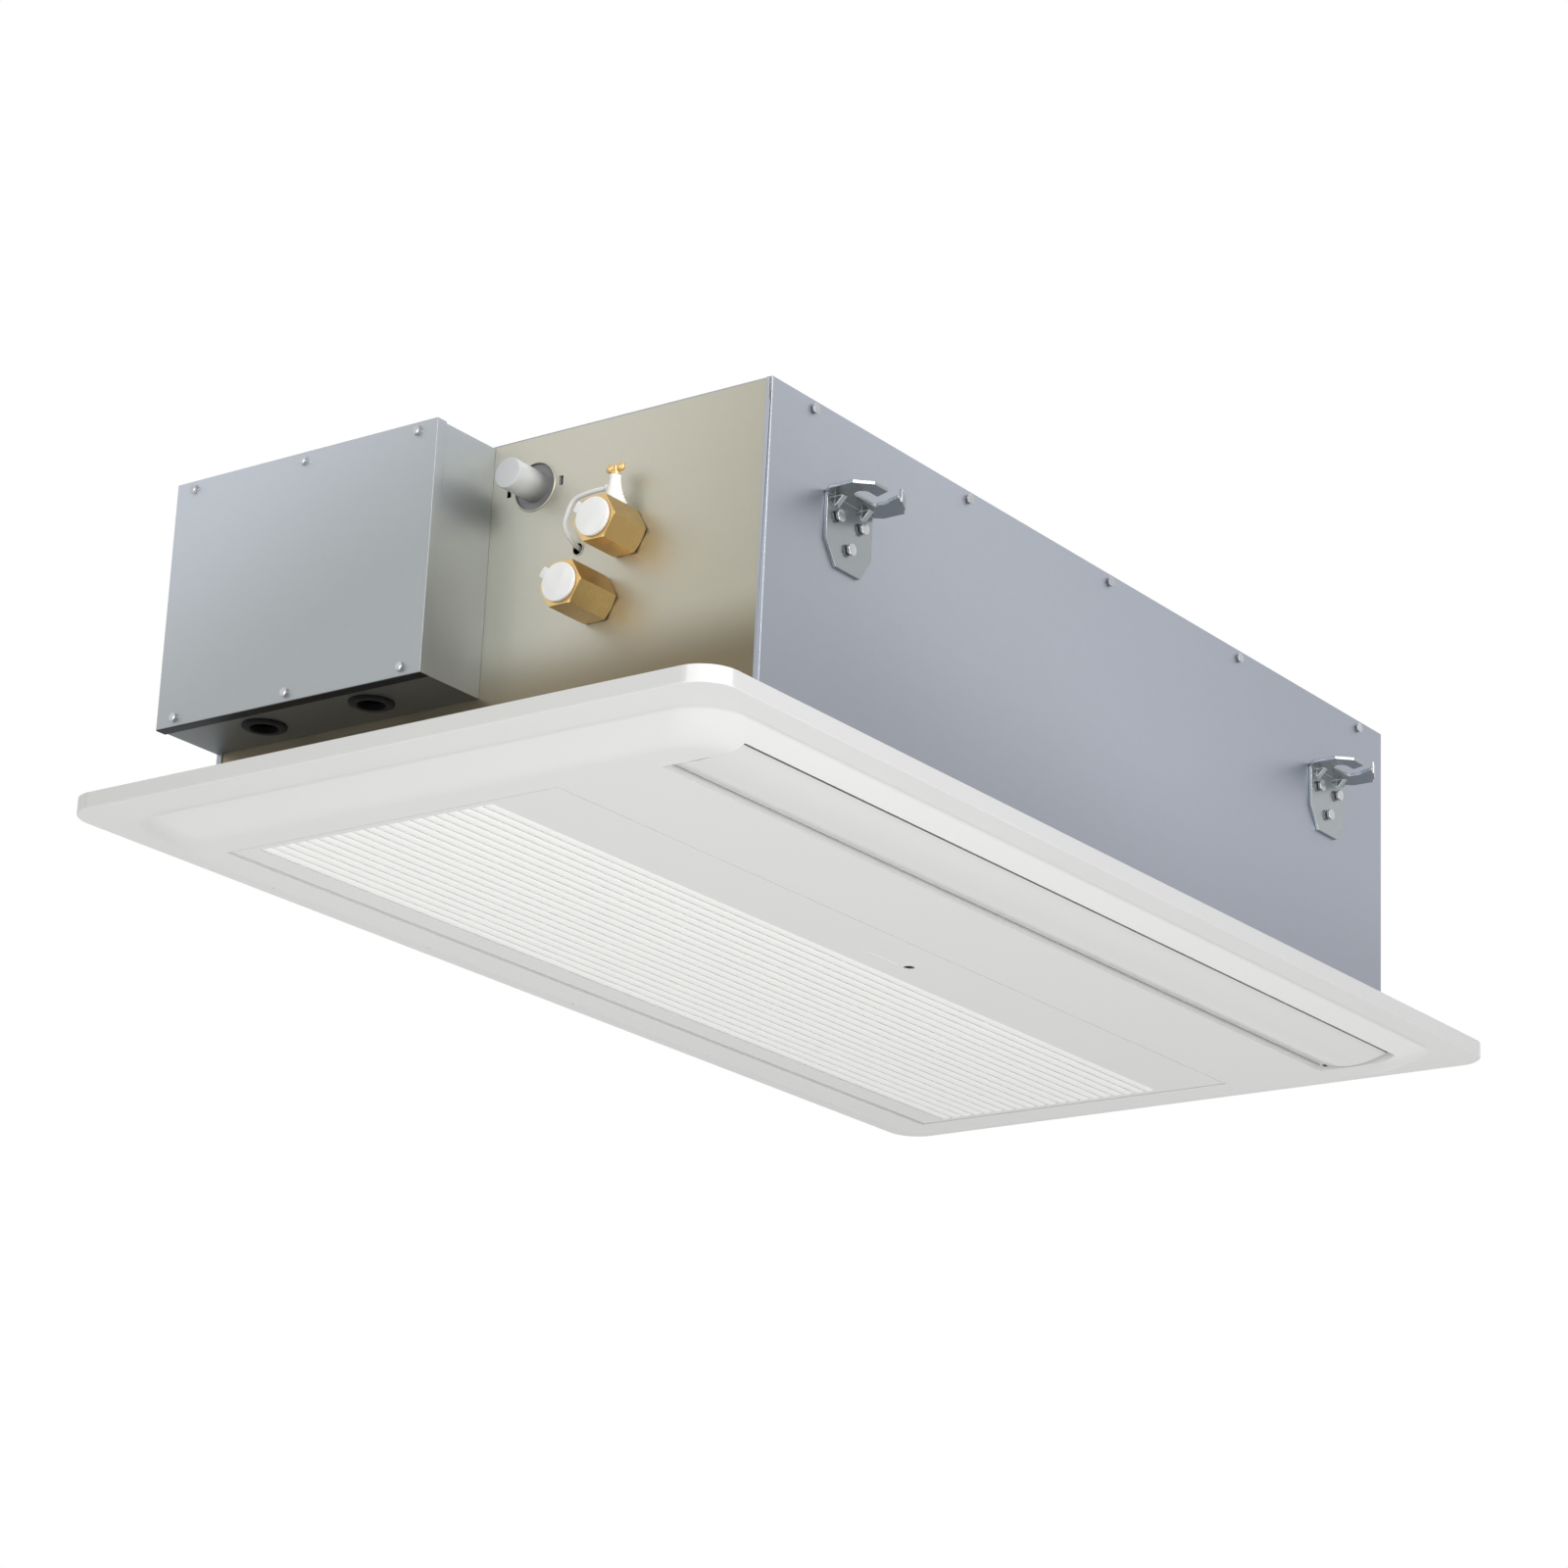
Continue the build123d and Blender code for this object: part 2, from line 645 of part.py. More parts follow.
def air_flap():
    """The flap: a bowed blade that hangs on a barrel along its inner edge, with a pin at each end."""
    half = OUTLET_HALF - FLAP_END_GAP
    lip = (OUTLET_FAR_Y + FLAP_LIP_GAP, FLAP_LIP_Z)
    belly = ((OUTLET_FAR_Y + OUTLET_NEAR_Y) / 2, FLAP_BELLY_Z)
    root = (FLAP_AXIS_Y, FLAP_AXIS_Z - FLAP_BARREL_R)
    under = ThreePointArc((0, *lip), (0, *belly), (0, *root))
    over = ThreePointArc((0, root[0], root[1] + FLAP_SKIN), (0, belly[0], belly[1] + FLAP_SKIN),
                         (0, lip[0], lip[1] + FLAP_SKIN))
    inner = Line((0, *root), (0, root[0], root[1] + FLAP_SKIN))
    outer = Line((0, lip[0], lip[1] + FLAP_SKIN), (0, *lip))
    blade = extrude(Pos(-half, 0, 0) * make_face([under, inner, over, outer]), 2 * half, dir=(1, 0, 0))
    flap = blade + rod((-half, FLAP_AXIS_Y, FLAP_AXIS_Z), (1, 0, 0), FLAP_BARREL_R, 2 * half, PLAIN)
    pin = OUTLET_HALF + RING_WALL
    return flap + rod((-pin, FLAP_AXIS_Y, FLAP_AXIS_Z), (1, 0, 0), FLAP_PIN_R, 2 * pin, PLAIN)


def flap_bushes():
    """Plain bushes in the fascia's end walls that carry the flap's pins."""
    bore = FLAP_PIN_R + RUN
    ends = [(side * OUTLET_HALF, FLAP_AXIS_Y, FLAP_AXIS_Z) for side in (-1, 1)]
    return [pipe(end, (copysign(1, end[0]), 0, 0), BUSH_R, bore, RING_WALL, PLAIN, PLAIN) for end in ends]


def flap_motor():
    """A small geared motor on the fascia's end wall, its body set off from the flap's axis."""
    wall = OUTLET_HALF + RING_WALL
    z = FLAP_AXIS_Z + FLAP_MOTOR_OFFSET
    body = rod((wall + CLEAR, FLAP_AXIS_Y, z), (1, 0, 0), FLAP_MOTOR_R, FLAP_MOTOR_LENGTH, PLAIN)
    ears = block(wall, wall + FLAP_MOTOR_EAR_THICK, FLAP_AXIS_Y - FLAP_MOTOR_EAR, FLAP_AXIS_Y + FLAP_MOTOR_EAR,
                 z - FLAP_MOTOR_EAR_WIDTH / 2, z + FLAP_MOTOR_EAR_WIDTH / 2)
    return body + ears


def casing_top_panel():
    """The top sheet, with its four edges folded down inside the walls."""
    inner_x = case_x - SHEET
    inner_y = case_y - SHEET
    tray = block(-inner_x, inner_x, -inner_y, inner_y, casing_top - SHEET, casing_top)
    skirt = block(-inner_x + SHEET, inner_x - SHEET, -inner_y, inner_y, casing_top - FLANGE, casing_top - SHEET)
    skirt -= block(-inner_x + 2 * SHEET, inner_x - 2 * SHEET, -inner_y + SHEET, inner_y - SHEET,
                   casing_top - FLANGE, casing_top - SHEET)
    body = tray + skirt
    for side in (-1, 1):
        for x in casing_screw_places():
            body -= casing_screw_hole(x, side)
    return body


def casing_screw_places():
    """The places along X of the screws near the top of a long wall."""
    first = -CASING_SCREW_PITCH * (CASING_SCREWS_SIDE - 1) / 2 + CASING_SCREW_SHIFT
    return [first + CASING_SCREW_PITCH * index for index in range(CASING_SCREWS_SIDE)]


def casing_screw_hole(x, side):
    """The hole for one of those screws, on the -Y side (-1) or the +Y side (1)."""
    return hole((x, side * case_y, casing_top - SCREW_BELOW_TOP), (0, -side, 0), SCREW_R + RUN, 5, SMALL)


def casing_screws():
    """All screws near the top of both long walls."""
    return [hex_screw((x, side * case_y, casing_top - SCREW_BELOW_TOP), (0, -side, 0),
                      SCREW_HEAD_AF, SCREW_HEAD, SCREW_R, 2 * SHEET)
            for side in (-1, 1) for x in casing_screw_places()]


def casing_side(side):
    """A long wall with a narrow return folded round each end, on the -Y side (-1) or the +Y side (1)."""
    face = side * case_y
    inner = side * (case_y - SHEET)
    edge = side * (case_y - RETURN)
    outline = [(-case_x, face), (case_x, face), (case_x, edge), (case_x - SHEET, edge),
               (case_x - SHEET, inner), (-case_x + SHEET, inner), (-case_x + SHEET, edge), (-case_x, edge)]
    wall = prism_z(outline, casing_bottom, casing_top)
    for end in (-1, 1):
        slit_x = sorted((end * (case_x - SHEET), end * (case_x + 1)))
        slit_y = sorted((side * (case_y - SHEET), side * (case_y - SHEET - SLIT_WIDTH)))
        wall -= block(*slit_x, *slit_y, casing_top - CORNER_SLIT, casing_top + 1)
    for x in casing_screw_places():
        wall -= casing_screw_hole(x, side)
    for index in (-1, 1):
        for point in bracket_screw_places(index * BRACKET_X, side):
            wall -= hole(point, (0, -side, 0), BRACKET_SCREW_R + RUN, 8, SMALL)
    return wall


def end_panel(side):
    """An end wall inside the returns of the long walls."""
    outer = side * (case_x - SHEET)
    inner = side * (case_x - 2 * SHEET)
    xs = sorted((outer, inner))
    return block(*xs, -case_y + SHEET, case_y - SHEET, casing_bottom + SHEET, casing_top - SHEET)


def end_panel_connection():
    """The end wall with the holes for the water connections, the vent tube and the discharge spigot."""
    wall = end_panel(-1)
    x = -case_x + SHEET
    for y, z in ((UPPER_Y, UPPER_Z), (LOWER_Y, LOWER_Z)):
        wall -= hole((x, y, z), (1, 0, 0), COUPLING_SHANK_R + CLEAR, 5, PLAIN)
    wall -= hole((x, VENT_HOLE_Y, VENT_HOLE_Z), (1, 0, 0), VENT_HOLE_R, 5, PLAIN)
    wall -= hole((x, SPIGOT_Y, SPIGOT_Z), (1, 0, 0), SPIGOT_HOLE_R, 5, FINE)
    for side in (-1, 1):
        slot = Pos(x, SPIGOT_Y + side * SPIGOT_SLOT, SPIGOT_Z)
        wall -= slot * Box(2 * SHEET + 1, SPIGOT_SLOT_WIDTH, SPIGOT_SLOT_LENGTH)
    return wall


def casing_base_plate():
    """The base sheet with the intake and outlet openings."""
    z0 = casing_bottom
    z1 = casing_bottom + SHEET
    plate = block(-case_x + SHEET, case_x - SHEET, -case_y + SHEET, case_y - SHEET, z0, z1)
    plate -= block(-intake_half, intake_half, INTAKE_NEAR_Y, INTAKE_FAR_Y, z0, z1)
    plate -= block(-throat_half, throat_half, throat_near_y, throat_far_y, z0, z1)
    for x, y in fascia_screw_places():
        plate -= hole((x, y, z0), (0, 0, 1), SCREW_R + RUN, 5, SMALL)
    return plate


def partition_plate():
    """The plate between the fans and the coil, with a window for each scroll's mouth."""
    half = case_x - 2 * SHEET
    plate = block(-half, half, DECK_PLATE_Y, DECK_PLATE_Y + DECK_PLATE, casing_bottom + SHEET, casing_top - FLANGE)
    low, high = mouth_heights()
    for x in (-FAN_X, FAN_X):
        reach = scroll_width / 2 - SCROLL_WALL
        plate -= block(x - reach, x + reach, DECK_PLATE_Y, DECK_PLATE_Y + DECK_PLATE, low, high)
    return plate


def duct_insulation():
    """Foam that lines the front wall and the top of the outlet plenum, rounded where they meet."""
    half = case_x - 2 * SHEET - LINER_SIDE
    front = -case_y + 2 * SHEET
    inside = front + LINER_FRONT
    top = casing_top - SHEET
    ceiling = top - LINER_TOP
    floor = casing_bottom + SHEET
    outline = [(front, floor), (inside, floor), (inside, ceiling), (DECK_PLATE_Y, ceiling),
               (DECK_PLATE_Y, top), (front, top)]
    foam = prism_x(outline, -half, half)
    corner = foam.edges().filter_by(Axis.X).sort_by_distance((0, inside, ceiling))[0]
    return fillet(corner, LINER_ROUND)


def bracket_screw_places(x, side):
    """The three screw places of a bracket, two above and one below."""
    y = side * (case_y + BRACKET_THICK)
    high = BRACKET_TOP_Z - BRACKET_SCREW_HIGH
    low = BRACKET_TOP_Z - BRACKET_SCREW_LOW
    return [(x - BRACKET_SCREW_X, y, high), (x + BRACKET_SCREW_X, y, high), (x, y, low)]


def hanger_bracket(x, side):
    """A hanger: a plate on the long wall, folded out at its top into a hook for a threaded rod."""
    half = BRACKET_WIDTH / 2
    wide = FLANGE_WIDTH / 2
    z1 = BRACKET_TOP_Z
    z0 = z1 - BRACKET_DROP
    knee = z0 + BRACKET_CHAMFER_Z
    foot = half - BRACKET_CHAMFER_X
    plate = prism_y([(-half, z1), (-half, knee), (-foot, z0), (foot, z0), (half, knee), (half, z1)],
                    -BRACKET_THICK, 0)
    tip = -FLANGE_OUT - FINGER_REACH
    outline = [(-half, 0), (half, 0), (wide, -SHOULDER), (wide, -FLANGE_OUT + HOOK_SLANT), (HOOK_POINT, tip),
               (-wide + FINGER_CORNER, tip), (-wide, -FLANGE_OUT + FINGER_CORNER), (-wide, -SHOULDER)]
    flange = prism_z(outline, z1 - BRACKET_THICK, z1)
    flange -= rod((SLOT_SEAT, -SLOT_OUT, z1 - BRACKET_THICK), (0, 0, 1), SLOT_R, BRACKET_THICK)
    flange -= block(SLOT_SEAT, SLOT_REACH + SLOT_R, -SLOT_OUT - SLOT_R, -SLOT_OUT + SLOT_R,
                    z1 - BRACKET_THICK, z1)
    mouth = Pos(SLOT_REACH, -SLOT_OUT, z1 - BRACKET_THICK / 2) * Rot(0, 0, -MOUTH_TILT)
    flange -= mouth * Pos(0, -FLANGE_OUT / 2, 0) * Box(2 * SLOT_R, FLANGE_OUT, BRACKET_THICK)
    tab = Plane((wide - TAB_BACK, -FLANGE_OUT + TAB_INSET, z1 - BRACKET_THICK),
                x_dir=(wide - HOOK_POINT, HOOK_SLANT + FINGER_REACH, 0), z_dir=(0, 0, 1))
    hook = flange + extrude(tab * Rectangle(TAB_LENGTH, BRACKET_THICK), BRACKET_THICK + TAB_HEIGHT)
    body = plate + hook
    for place in (-GUSSET_X, GUSSET_X):
        low = z1 - BRACKET_THICK
        rib = prism_x([(-BRACKET_THICK, low), (-BRACKET_THICK - GUSSET, low), (-BRACKET_THICK, low - GUSSET)],
                      place - GUSSET_WIDTH / 2, place + GUSSET_WIDTH / 2)
        body += rib
    turned = body if side < 0 else Rot(0, 0, 180) * body
    placed = Pos(x, side * case_y, 0) * turned
    for point in bracket_screw_places(x, side):
        placed -= hole(point, (0, -side, 0), BRACKET_SCREW_R + RUN, 8, SMALL)
    return placed


def bracket_places():
    """Each bracket's place along X and its side."""
    return [(-BRACKET_X, -1), (BRACKET_X, -1), (-BRACKET_X, 1), (BRACKET_X, 1)]


def bracket_screws():
    """The screws of all four brackets."""
    return [hex_screw(point, (0, -side, 0), BRACKET_HEAD_AF, BRACKET_HEAD, BRACKET_SCREW_R,
                      BRACKET_THICK + 2 * SHEET)
            for x, side in bracket_places() for point in bracket_screw_places(x, side)]


def control_box_body():
    """The box: a tray with its mouth towards the room end and a lip round the mouth."""
    x0 = -case_x - BOX_DEPTH + SHEET
    x1 = -case_x
    y0 = BOX_NEAR_Y + SHEET
    y1 = BOX_FAR_Y - SHEET
    z0 = BOX_BOTTOM_Z + SHEET
    z1 = BOX_TOP_Z - SHEET
    body = block(x0, x1, y0, y1, z0, z1)
    body -= block(x0 + SHEET, x1 - SHEET, y0 + SHEET, y1 - SHEET, z0 + SHEET, z1 - SHEET)
    body -= block(x0 - 1, x0 + SHEET, y0 + BOX_LIP, y1 - BOX_LIP, z0 + BOX_LIP, z1 - BOX_LIP)
    for y in CABLE_Y:
        body -= rod((CABLE_X, y, z0 - 1), (0, 0, 1), CABLE_HOLE_R, SHEET + 2, PLAIN)
    for point in box_screw_places():
        body -= hole(point, (1, 0, 0), SCREW_R + RUN, 5, SMALL)
    return body


def box_screw_places():
    """The six screw places on the cover."""
    x = -case_x - BOX_DEPTH
    middle = (BOX_NEAR_Y + BOX_FAR_Y) / 2
    ys = (BOX_NEAR_Y + BOX_SCREW_INSET_Y, middle, BOX_FAR_Y - BOX_SCREW_INSET_Y)
    zs = (BOX_BOTTOM_Z + BOX_SCREW_INSET_Z, BOX_TOP_Z - BOX_SCREW_INSET_Z)
    return [(x, y, z) for y in ys for z in zs]


def control_box_cover():
    """The cover: a sheet with its edges folded back over the box."""
    x0 = -case_x - BOX_DEPTH
    cover = block(x0, x0 + SHEET + COVER_FLANGE, BOX_NEAR_Y, BOX_FAR_Y, BOX_BOTTOM_Z, BOX_TOP_Z)
    cover -= block(x0 + SHEET, x0 + SHEET + COVER_FLANGE, BOX_NEAR_Y + SHEET, BOX_FAR_Y - SHEET,
                   BOX_BOTTOM_Z + SHEET, BOX_TOP_Z - SHEET)
    for point in box_screw_places():
        cover -= hole(point, (1, 0, 0), SCREW_R + RUN, 5, SMALL)
    return cover


def control_box_screws():
    """The six cover screws."""
    return [hex_screw(point, (1, 0, 0), SCREW_HEAD_AF, SCREW_HEAD, SCREW_R, BOX_SCREW_SHANK)
            for point in box_screw_places()]


def cable_grommets():
    """Rubber grommets in the box's floor, each gripping the sheet."""
    z = BOX_BOTTOM_Z + SHEET
    rings = []
    for y in CABLE_Y:
        ring = rod((CABLE_X, y, z - CABLE_FLANGE), (0, 0, 1), CABLE_FLANGE_R, CABLE_FLANGE, PLAIN)
        ring += rod((CABLE_X, y, z), (0, 0, 1), CABLE_HOLE_R, SHEET, PLAIN)
        ring += rod((CABLE_X, y, z + SHEET), (0, 0, 1), CABLE_FLANGE_R, CABLE_FLANGE, PLAIN)
        ring -= hole((CABLE_X, y, z), (0, 0, 1), CABLE_BORE_R, 8)
        rings.append(ring)
    return rings


def control_board():
    """The control board on four posts, with its relays and connectors."""
    back = -case_x - SHEET
    board_x = back - BOARD_POST
    face = board_x - BOARD
    body = block(face, board_x, *BOARD_Y, *BOARD_Z)
    for y in (BOARD_Y[0] + BOARD_POST_INSET, BOARD_Y[1] - BOARD_POST_INSET):
        for z in (BOARD_Z[0] + BOARD_POST_INSET, BOARD_Z[1] - BOARD_POST_INSET):
            body += rod((board_x, y, z), (1, 0, 0), BOARD_POST_R, BOARD_POST, SMALL)
    relay_y = BOARD_Y[0] + BOARD_POST_INSET
    for index in range(RELAYS):
        z = BOARD_Z[0] + RELAY_PITCH * (index + 1)
        body += block(face - RELAY_HEIGHT, face, relay_y, relay_y + RELAY_LENGTH, z, z + RELAY_WIDTH)
    plug_y = BOARD_Y[1] - PLUG_WIDTH - PLUG_LENGTH
    plug_z = BOARD_Z[0] + RELAY_WIDTH
    return body + block(face - PLUG_HEIGHT, face, plug_y, plug_y + PLUG_LENGTH, plug_z, plug_z + PLUG_WIDTH)


def terminal_block():
    """The terminal strip on the box's back wall, stepped at each pole."""
    back = -case_x - SHEET
    outline = [(back - deep, TERMINAL_Z + high) for deep, high in TERMINAL_STEPS]
    strip = prism_y(outline, TERMINAL_Y, TERMINAL_Y + POLES * POLE_PITCH)
    (_, _), (_, _), (shelf, low), _, (crest, _), (_, high), _, _ = TERMINAL_STEPS
    for index in range(1, POLES):
        y = TERMINAL_Y + index * POLE_PITCH
        strip -= block(back - crest, back - shelf, y - POLE_GROOVE / 2, y + POLE_GROOVE / 2,
                       TERMINAL_Z + low, TERMINAL_Z + high)
    return strip


def motor_capacitor():
    """The motor's run capacitor, standing in its clip on the box's back wall."""
    back = -case_x - SHEET
    x = back - CAPACITOR_R - CLIP_BACK
    body = rod((x, CAPACITOR_Y, CAPACITOR_Z), (0, 0, 1), CAPACITOR_R, CAPACITOR_LENGTH, FINE)
    clip_z = CAPACITOR_Z + CLIP_HEIGHT
    return body + block(x + CAPACITOR_R - 1, back, CAPACITOR_Y - CLIP_WIDTH / 2, CAPACITOR_Y + CLIP_WIDTH / 2,
                        clip_z, clip_z + CLIP_HEIGHT)


def coupling(y, z, reach):
    """A brass water coupling: a hexagon outside the end wall and a shank back to the header."""
    face = -case_x - reach
    seat = Plane((-case_x, y, z), x_dir=(0, 1, 0), z_dir=(-1, 0, 0))
    nut = extrude(seat * RegularPolygon(COUPLING_AF / 2, 6, major_radius=False), reach)
    nut = chamfer(nut.faces().sort_by(Axis.X)[0].edges(), COUPLING_CHAMFER)
    shank = case_x + HEADER_X - HEADER_R + HEADER_BITE
    body = nut + rod((-case_x, y, z), (1, 0, 0), COUPLING_SHANK_R, shank, PLAIN)
    body -= rod((face, y, z), (1, 0, 0), COUPLING_MOUTH_R, COUPLING_MOUTH, FINE)
    return body - rod((face + COUPLING_MOUTH, y, z), (1, 0, 0), COUPLING_BORE_R, COUPLING_BORE_DEPTH)


def coupling_upper():
    """The upper coupling, tapped on its top flat for the air vent."""
    body = coupling(UPPER_Y, UPPER_Z, UPPER_REACH)
    tap = (VENT_X, UPPER_Y, UPPER_Z + COUPLING_AF / 2 - VENT_TAP)
    return body - rod(tap, (0, 0, 1), VENT_TOP_R, VENT_HEIGHT, PLAIN)


def pipe_cap(y, z, reach):
    """A push-in cap: a disc with a pull tab and a hollow plug."""
    face = -case_x - reach - CLEAR
    disc = rod((face, y, z), (-1, 0, 0), CAP_R, CAP_THICK, FINE)
    tab = Plane((face, y, z), x_dir=(0, cos(radians(TAB_ANGLE)), sin(radians(TAB_ANGLE))),
                z_dir=(-1, 0, 0))
    outline = Rectangle(CAP_TAB_LENGTH, CAP_TAB_WIDTH)
    outline = chamfer(outline.vertices(), CAP_TAB_CORNER)
    disc += extrude(tab * Pos(CAP_R, 0, 0) * outline, CAP_THICK / 2)
    plug = rod((face, y, z), (1, 0, 0), COUPLING_MOUTH_R - RUN, CAP_PLUG, FINE)
    plug -= rod((face, y, z), (1, 0, 0), COUPLING_MOUTH_R - CAP_WALL, CAP_PLUG, FINE)
    return disc + plug


def air_vent_body():
    """The air vent's body, a short cone screwed into the coupling, with a side outlet."""
    z0 = UPPER_Z + COUPLING_AF / 2
    low = Plane((VENT_X, UPPER_Y, z0)) * RegularPolygon(VENT_BASE_R, PLAIN)
    high = Plane((VENT_X, UPPER_Y, z0 + VENT_HEIGHT)) * RegularPolygon(VENT_TOP_R, PLAIN)
    cone = loft([low, high], ruled=True)
    cone += rod((VENT_X, UPPER_Y, z0 - VENT_TAP), (0, 0, 1), VENT_TOP_R, VENT_TAP, PLAIN)
    cone += rod((VENT_X, UPPER_Y, z0 + VENT_SIDE), (0, 1, 0), VENT_SIDE_R, VENT_SIDE_REACH, PLAIN)
    return cone - hole((VENT_X, UPPER_Y, z0 + VENT_HEIGHT), (0, 0, 1), VENT_SCREW_R + RUN, VENT_BORE, PLAIN)


def air_vent_screw():
    """The bleed screw: a stem with a collar and two wings."""
    z0 = UPPER_Z + COUPLING_AF / 2 + VENT_HEIGHT
    collar_z = z0 + CLEAR
    wing_z = collar_z + VENT_COLLAR + VENT_WING_HEIGHT / 2
    screw = rod((VENT_X, UPPER_Y, z0 - VENT_STEM), (0, 0, 1), VENT_SCREW_R, VENT_STEM + VENT_COLLAR, PLAIN)
    screw += rod((VENT_X, UPPER_Y, collar_z), (0, 0, 1), VENT_COLLAR_R, VENT_COLLAR, PLAIN)
    wings = Pos(VENT_X, UPPER_Y, wing_z) * Box(VENT_WING_THICK, VENT_WING, VENT_WING_HEIGHT)
    return screw + chamfer(wings.edges().filter_by(Axis.X), VENT_WING_ROUND)


def vent_tube():
    """The bleed tube, from the vent's side outlet round and down into the end wall."""
    z0 = UPPER_Z + COUPLING_AF / 2 + VENT_SIDE
    y0 = UPPER_Y + VENT_SIDE_REACH
    points = [(VENT_X, y0, z0), (VENT_X, y0 + 16, z0), (VENT_X + 1, y0 + 35, z0 - 2),
              (VENT_X + 4, y0 + 45, z0 - 22), (VENT_X + 12, VENT_HOLE_Y + 1, VENT_HOLE_Z + 3),
              (-case_x + 9, VENT_HOLE_Y, VENT_HOLE_Z)]
    return soft_tube(points, VENT_TUBE_R, "vent_tube")


def discharge_spigot():
    """The condensate discharge spigot: a closed stub with a flange behind the end wall."""
    inside = -case_x + 2 * SHEET
    stub = rod((-case_x - SPIGOT_REACH, SPIGOT_Y, SPIGOT_Z), (1, 0, 0), SPIGOT_R, SPIGOT_REACH + 2 * SHEET)
    stub += rod((inside, SPIGOT_Y, SPIGOT_Z), (1, 0, 0), SPIGOT_FLANGE_R, SPIGOT_FLANGE, FINE)
    tail = (inside + SPIGOT_FLANGE, SPIGOT_Y, SPIGOT_Z)
    stub += rod(tail, (1, 0, 0), HOSE_R - HOSE_WALL, SPIGOT_TAIL, PLAIN)
    start = (-case_x - SPIGOT_REACH + SPIGOT_END, SPIGOT_Y, SPIGOT_Z)
    return stub - rod(start, (1, 0, 0), SPIGOT_BORE_R, SPIGOT_REACH + SPIGOT_TAIL + SPIGOT_FLANGE, SMALL)


def pump_hose():
    """The hose from the condensate pump up to the spigot."""
    top = pan_floor() + PUMP_FOOT + PUMP_BODY + PUMP_NIPPLE
    end_x = -case_x + 2 * SHEET + SPIGOT_FLANGE + SPIGOT_TAIL
    points = [(PUMP_X, PUMP_Y, top), (PUMP_X, PUMP_Y, top + HOSE_RISE), (PUMP_X, SPIGOT_Y, SPIGOT_Z - HOSE_DROP),
              (PUMP_X, SPIGOT_Y, SPIGOT_Z), (end_x, SPIGOT_Y, SPIGOT_Z)]
    return soft_tube(points, HOSE_R, "pump_hose")


def pan_floor():
    """The height of the inside of the drain pan's floor."""
    return casing_bottom + SHEET + PAN_WALL


def condensate_pump():
    """The lift pump, standing in the pan on three feet, with its outlet on top."""
    z0 = pan_floor()
    pump = rod((PUMP_X, PUMP_Y, z0 + PUMP_FOOT), (0, 0, 1), PUMP_R, PUMP_BODY, PLAIN)
    pump += rod((PUMP_X, PUMP_Y, z0 + PUMP_FOOT + PUMP_BODY), (0, 0, 1), HOSE_R - HOSE_WALL, PUMP_NIPPLE, PLAIN)
    for index in range(PUMP_FEET):
        angle = radians(90 + 360 / PUMP_FEET * index)
        foot = (PUMP_X + PUMP_FOOT_PLACE * cos(angle), PUMP_Y + PUMP_FOOT_PLACE * sin(angle), z0)
        pump += rod(foot, (0, 0, 1), PUMP_FOOT_R, PUMP_FOOT, SMALL)
    return pump


def drain_pan():
    """The pan under the coil, with tapered walls inside."""
    half = case_x - 2 * SHEET - PAN_MARGIN
    z0 = casing_bottom + SHEET
    width = PAN_NEAR_Y - PAN_FAR_Y
    middle = (PAN_NEAR_Y + PAN_FAR_Y) / 2
    outer = extrude(Pos(0, middle, z0) * faceted_rectangle(2 * half, width, PAN_CORNER), PAN_HEIGHT)
    top = Pos(0, middle, z0 + PAN_HEIGHT) * faceted_rectangle(
        2 * half - 2 * PAN_WALL, width - 2 * PAN_WALL, PAN_CORNER - PAN_WALL)
    low = Pos(0, middle, z0 + PAN_WALL) * faceted_rectangle(
        2 * half - 4 * PAN_WALL, width - 4 * PAN_WALL, PAN_CORNER - 2 * PAN_WALL)
    return outer - loft([low, top], ruled=True)


def coil_point(along, across):
    """A point of the leaning coil, from its middle: up along the slope and across to the fan side."""
    return coil_y + up_y * along + out_y * across, coil_z + up_z * along + out_z * across


def coil_slab(x0, x1, reach, thick):
    """A leaning slab of the coil's outline."""
    corners = [coil_point(-reach, -thick / 2), coil_point(-reach, thick / 2),
               coil_point(reach, thick / 2), coil_point(reach, -thick / 2)]
    return prism_x(corners, x0, x1)


def coil_fin_pack():
    """The fin pack: a leaning block, grooved all round between groups of fins."""
    pack = coil_slab(-coil_half, coil_half, coil_reach, COIL_THICK)
    step = COIL_LENGTH / (FIN_GROOVES + 1)
    for index in range(FIN_GROOVES):
        x = -coil_half + step * (index + 1)
        ring = coil_slab(x - FIN_GROOVE / 2, x + FIN_GROOVE / 2, coil_reach, COIL_THICK)
        core = coil_slab(x - FIN_GROOVE / 2, x + FIN_GROOVE / 2, coil_reach - FIN_GROOVE_DEEP,
                         COIL_THICK - 2 * FIN_GROOVE_DEEP)
        pack -= ring - core
    return pack


def coil_end_plates():
    """Two end plates, each with a foot in the pan and an arm up to the liner."""
    plates = []
    foot_y, foot_z = coil_point(-coil_reach, 0)
    head_y, head_z = coil_point(coil_reach, 0)
    top = casing_top - SHEET - LINER_TOP
    for side in (-1, 1):
        xs = sorted((side * coil_half, side * (coil_half + END_PLATE)))
        plate = coil_slab(*xs, coil_reach, COIL_THICK)
        plate += block(*xs, foot_y - END_PLATE_FOOT / 2, foot_y + END_PLATE_FOOT / 2, pan_floor(), foot_z)
        plate += block(*xs, head_y - END_PLATE_ARM / 2, head_y + END_PLATE_ARM / 2, head_z, top)
        plates.append(plate)
    return plates


def tube_rows():
    """The distances of the tubes along the slope, from the coil's middle."""
    return [TUBE_PITCH * (index + 0.5 - TUBES / 2) for index in range(TUBES)]


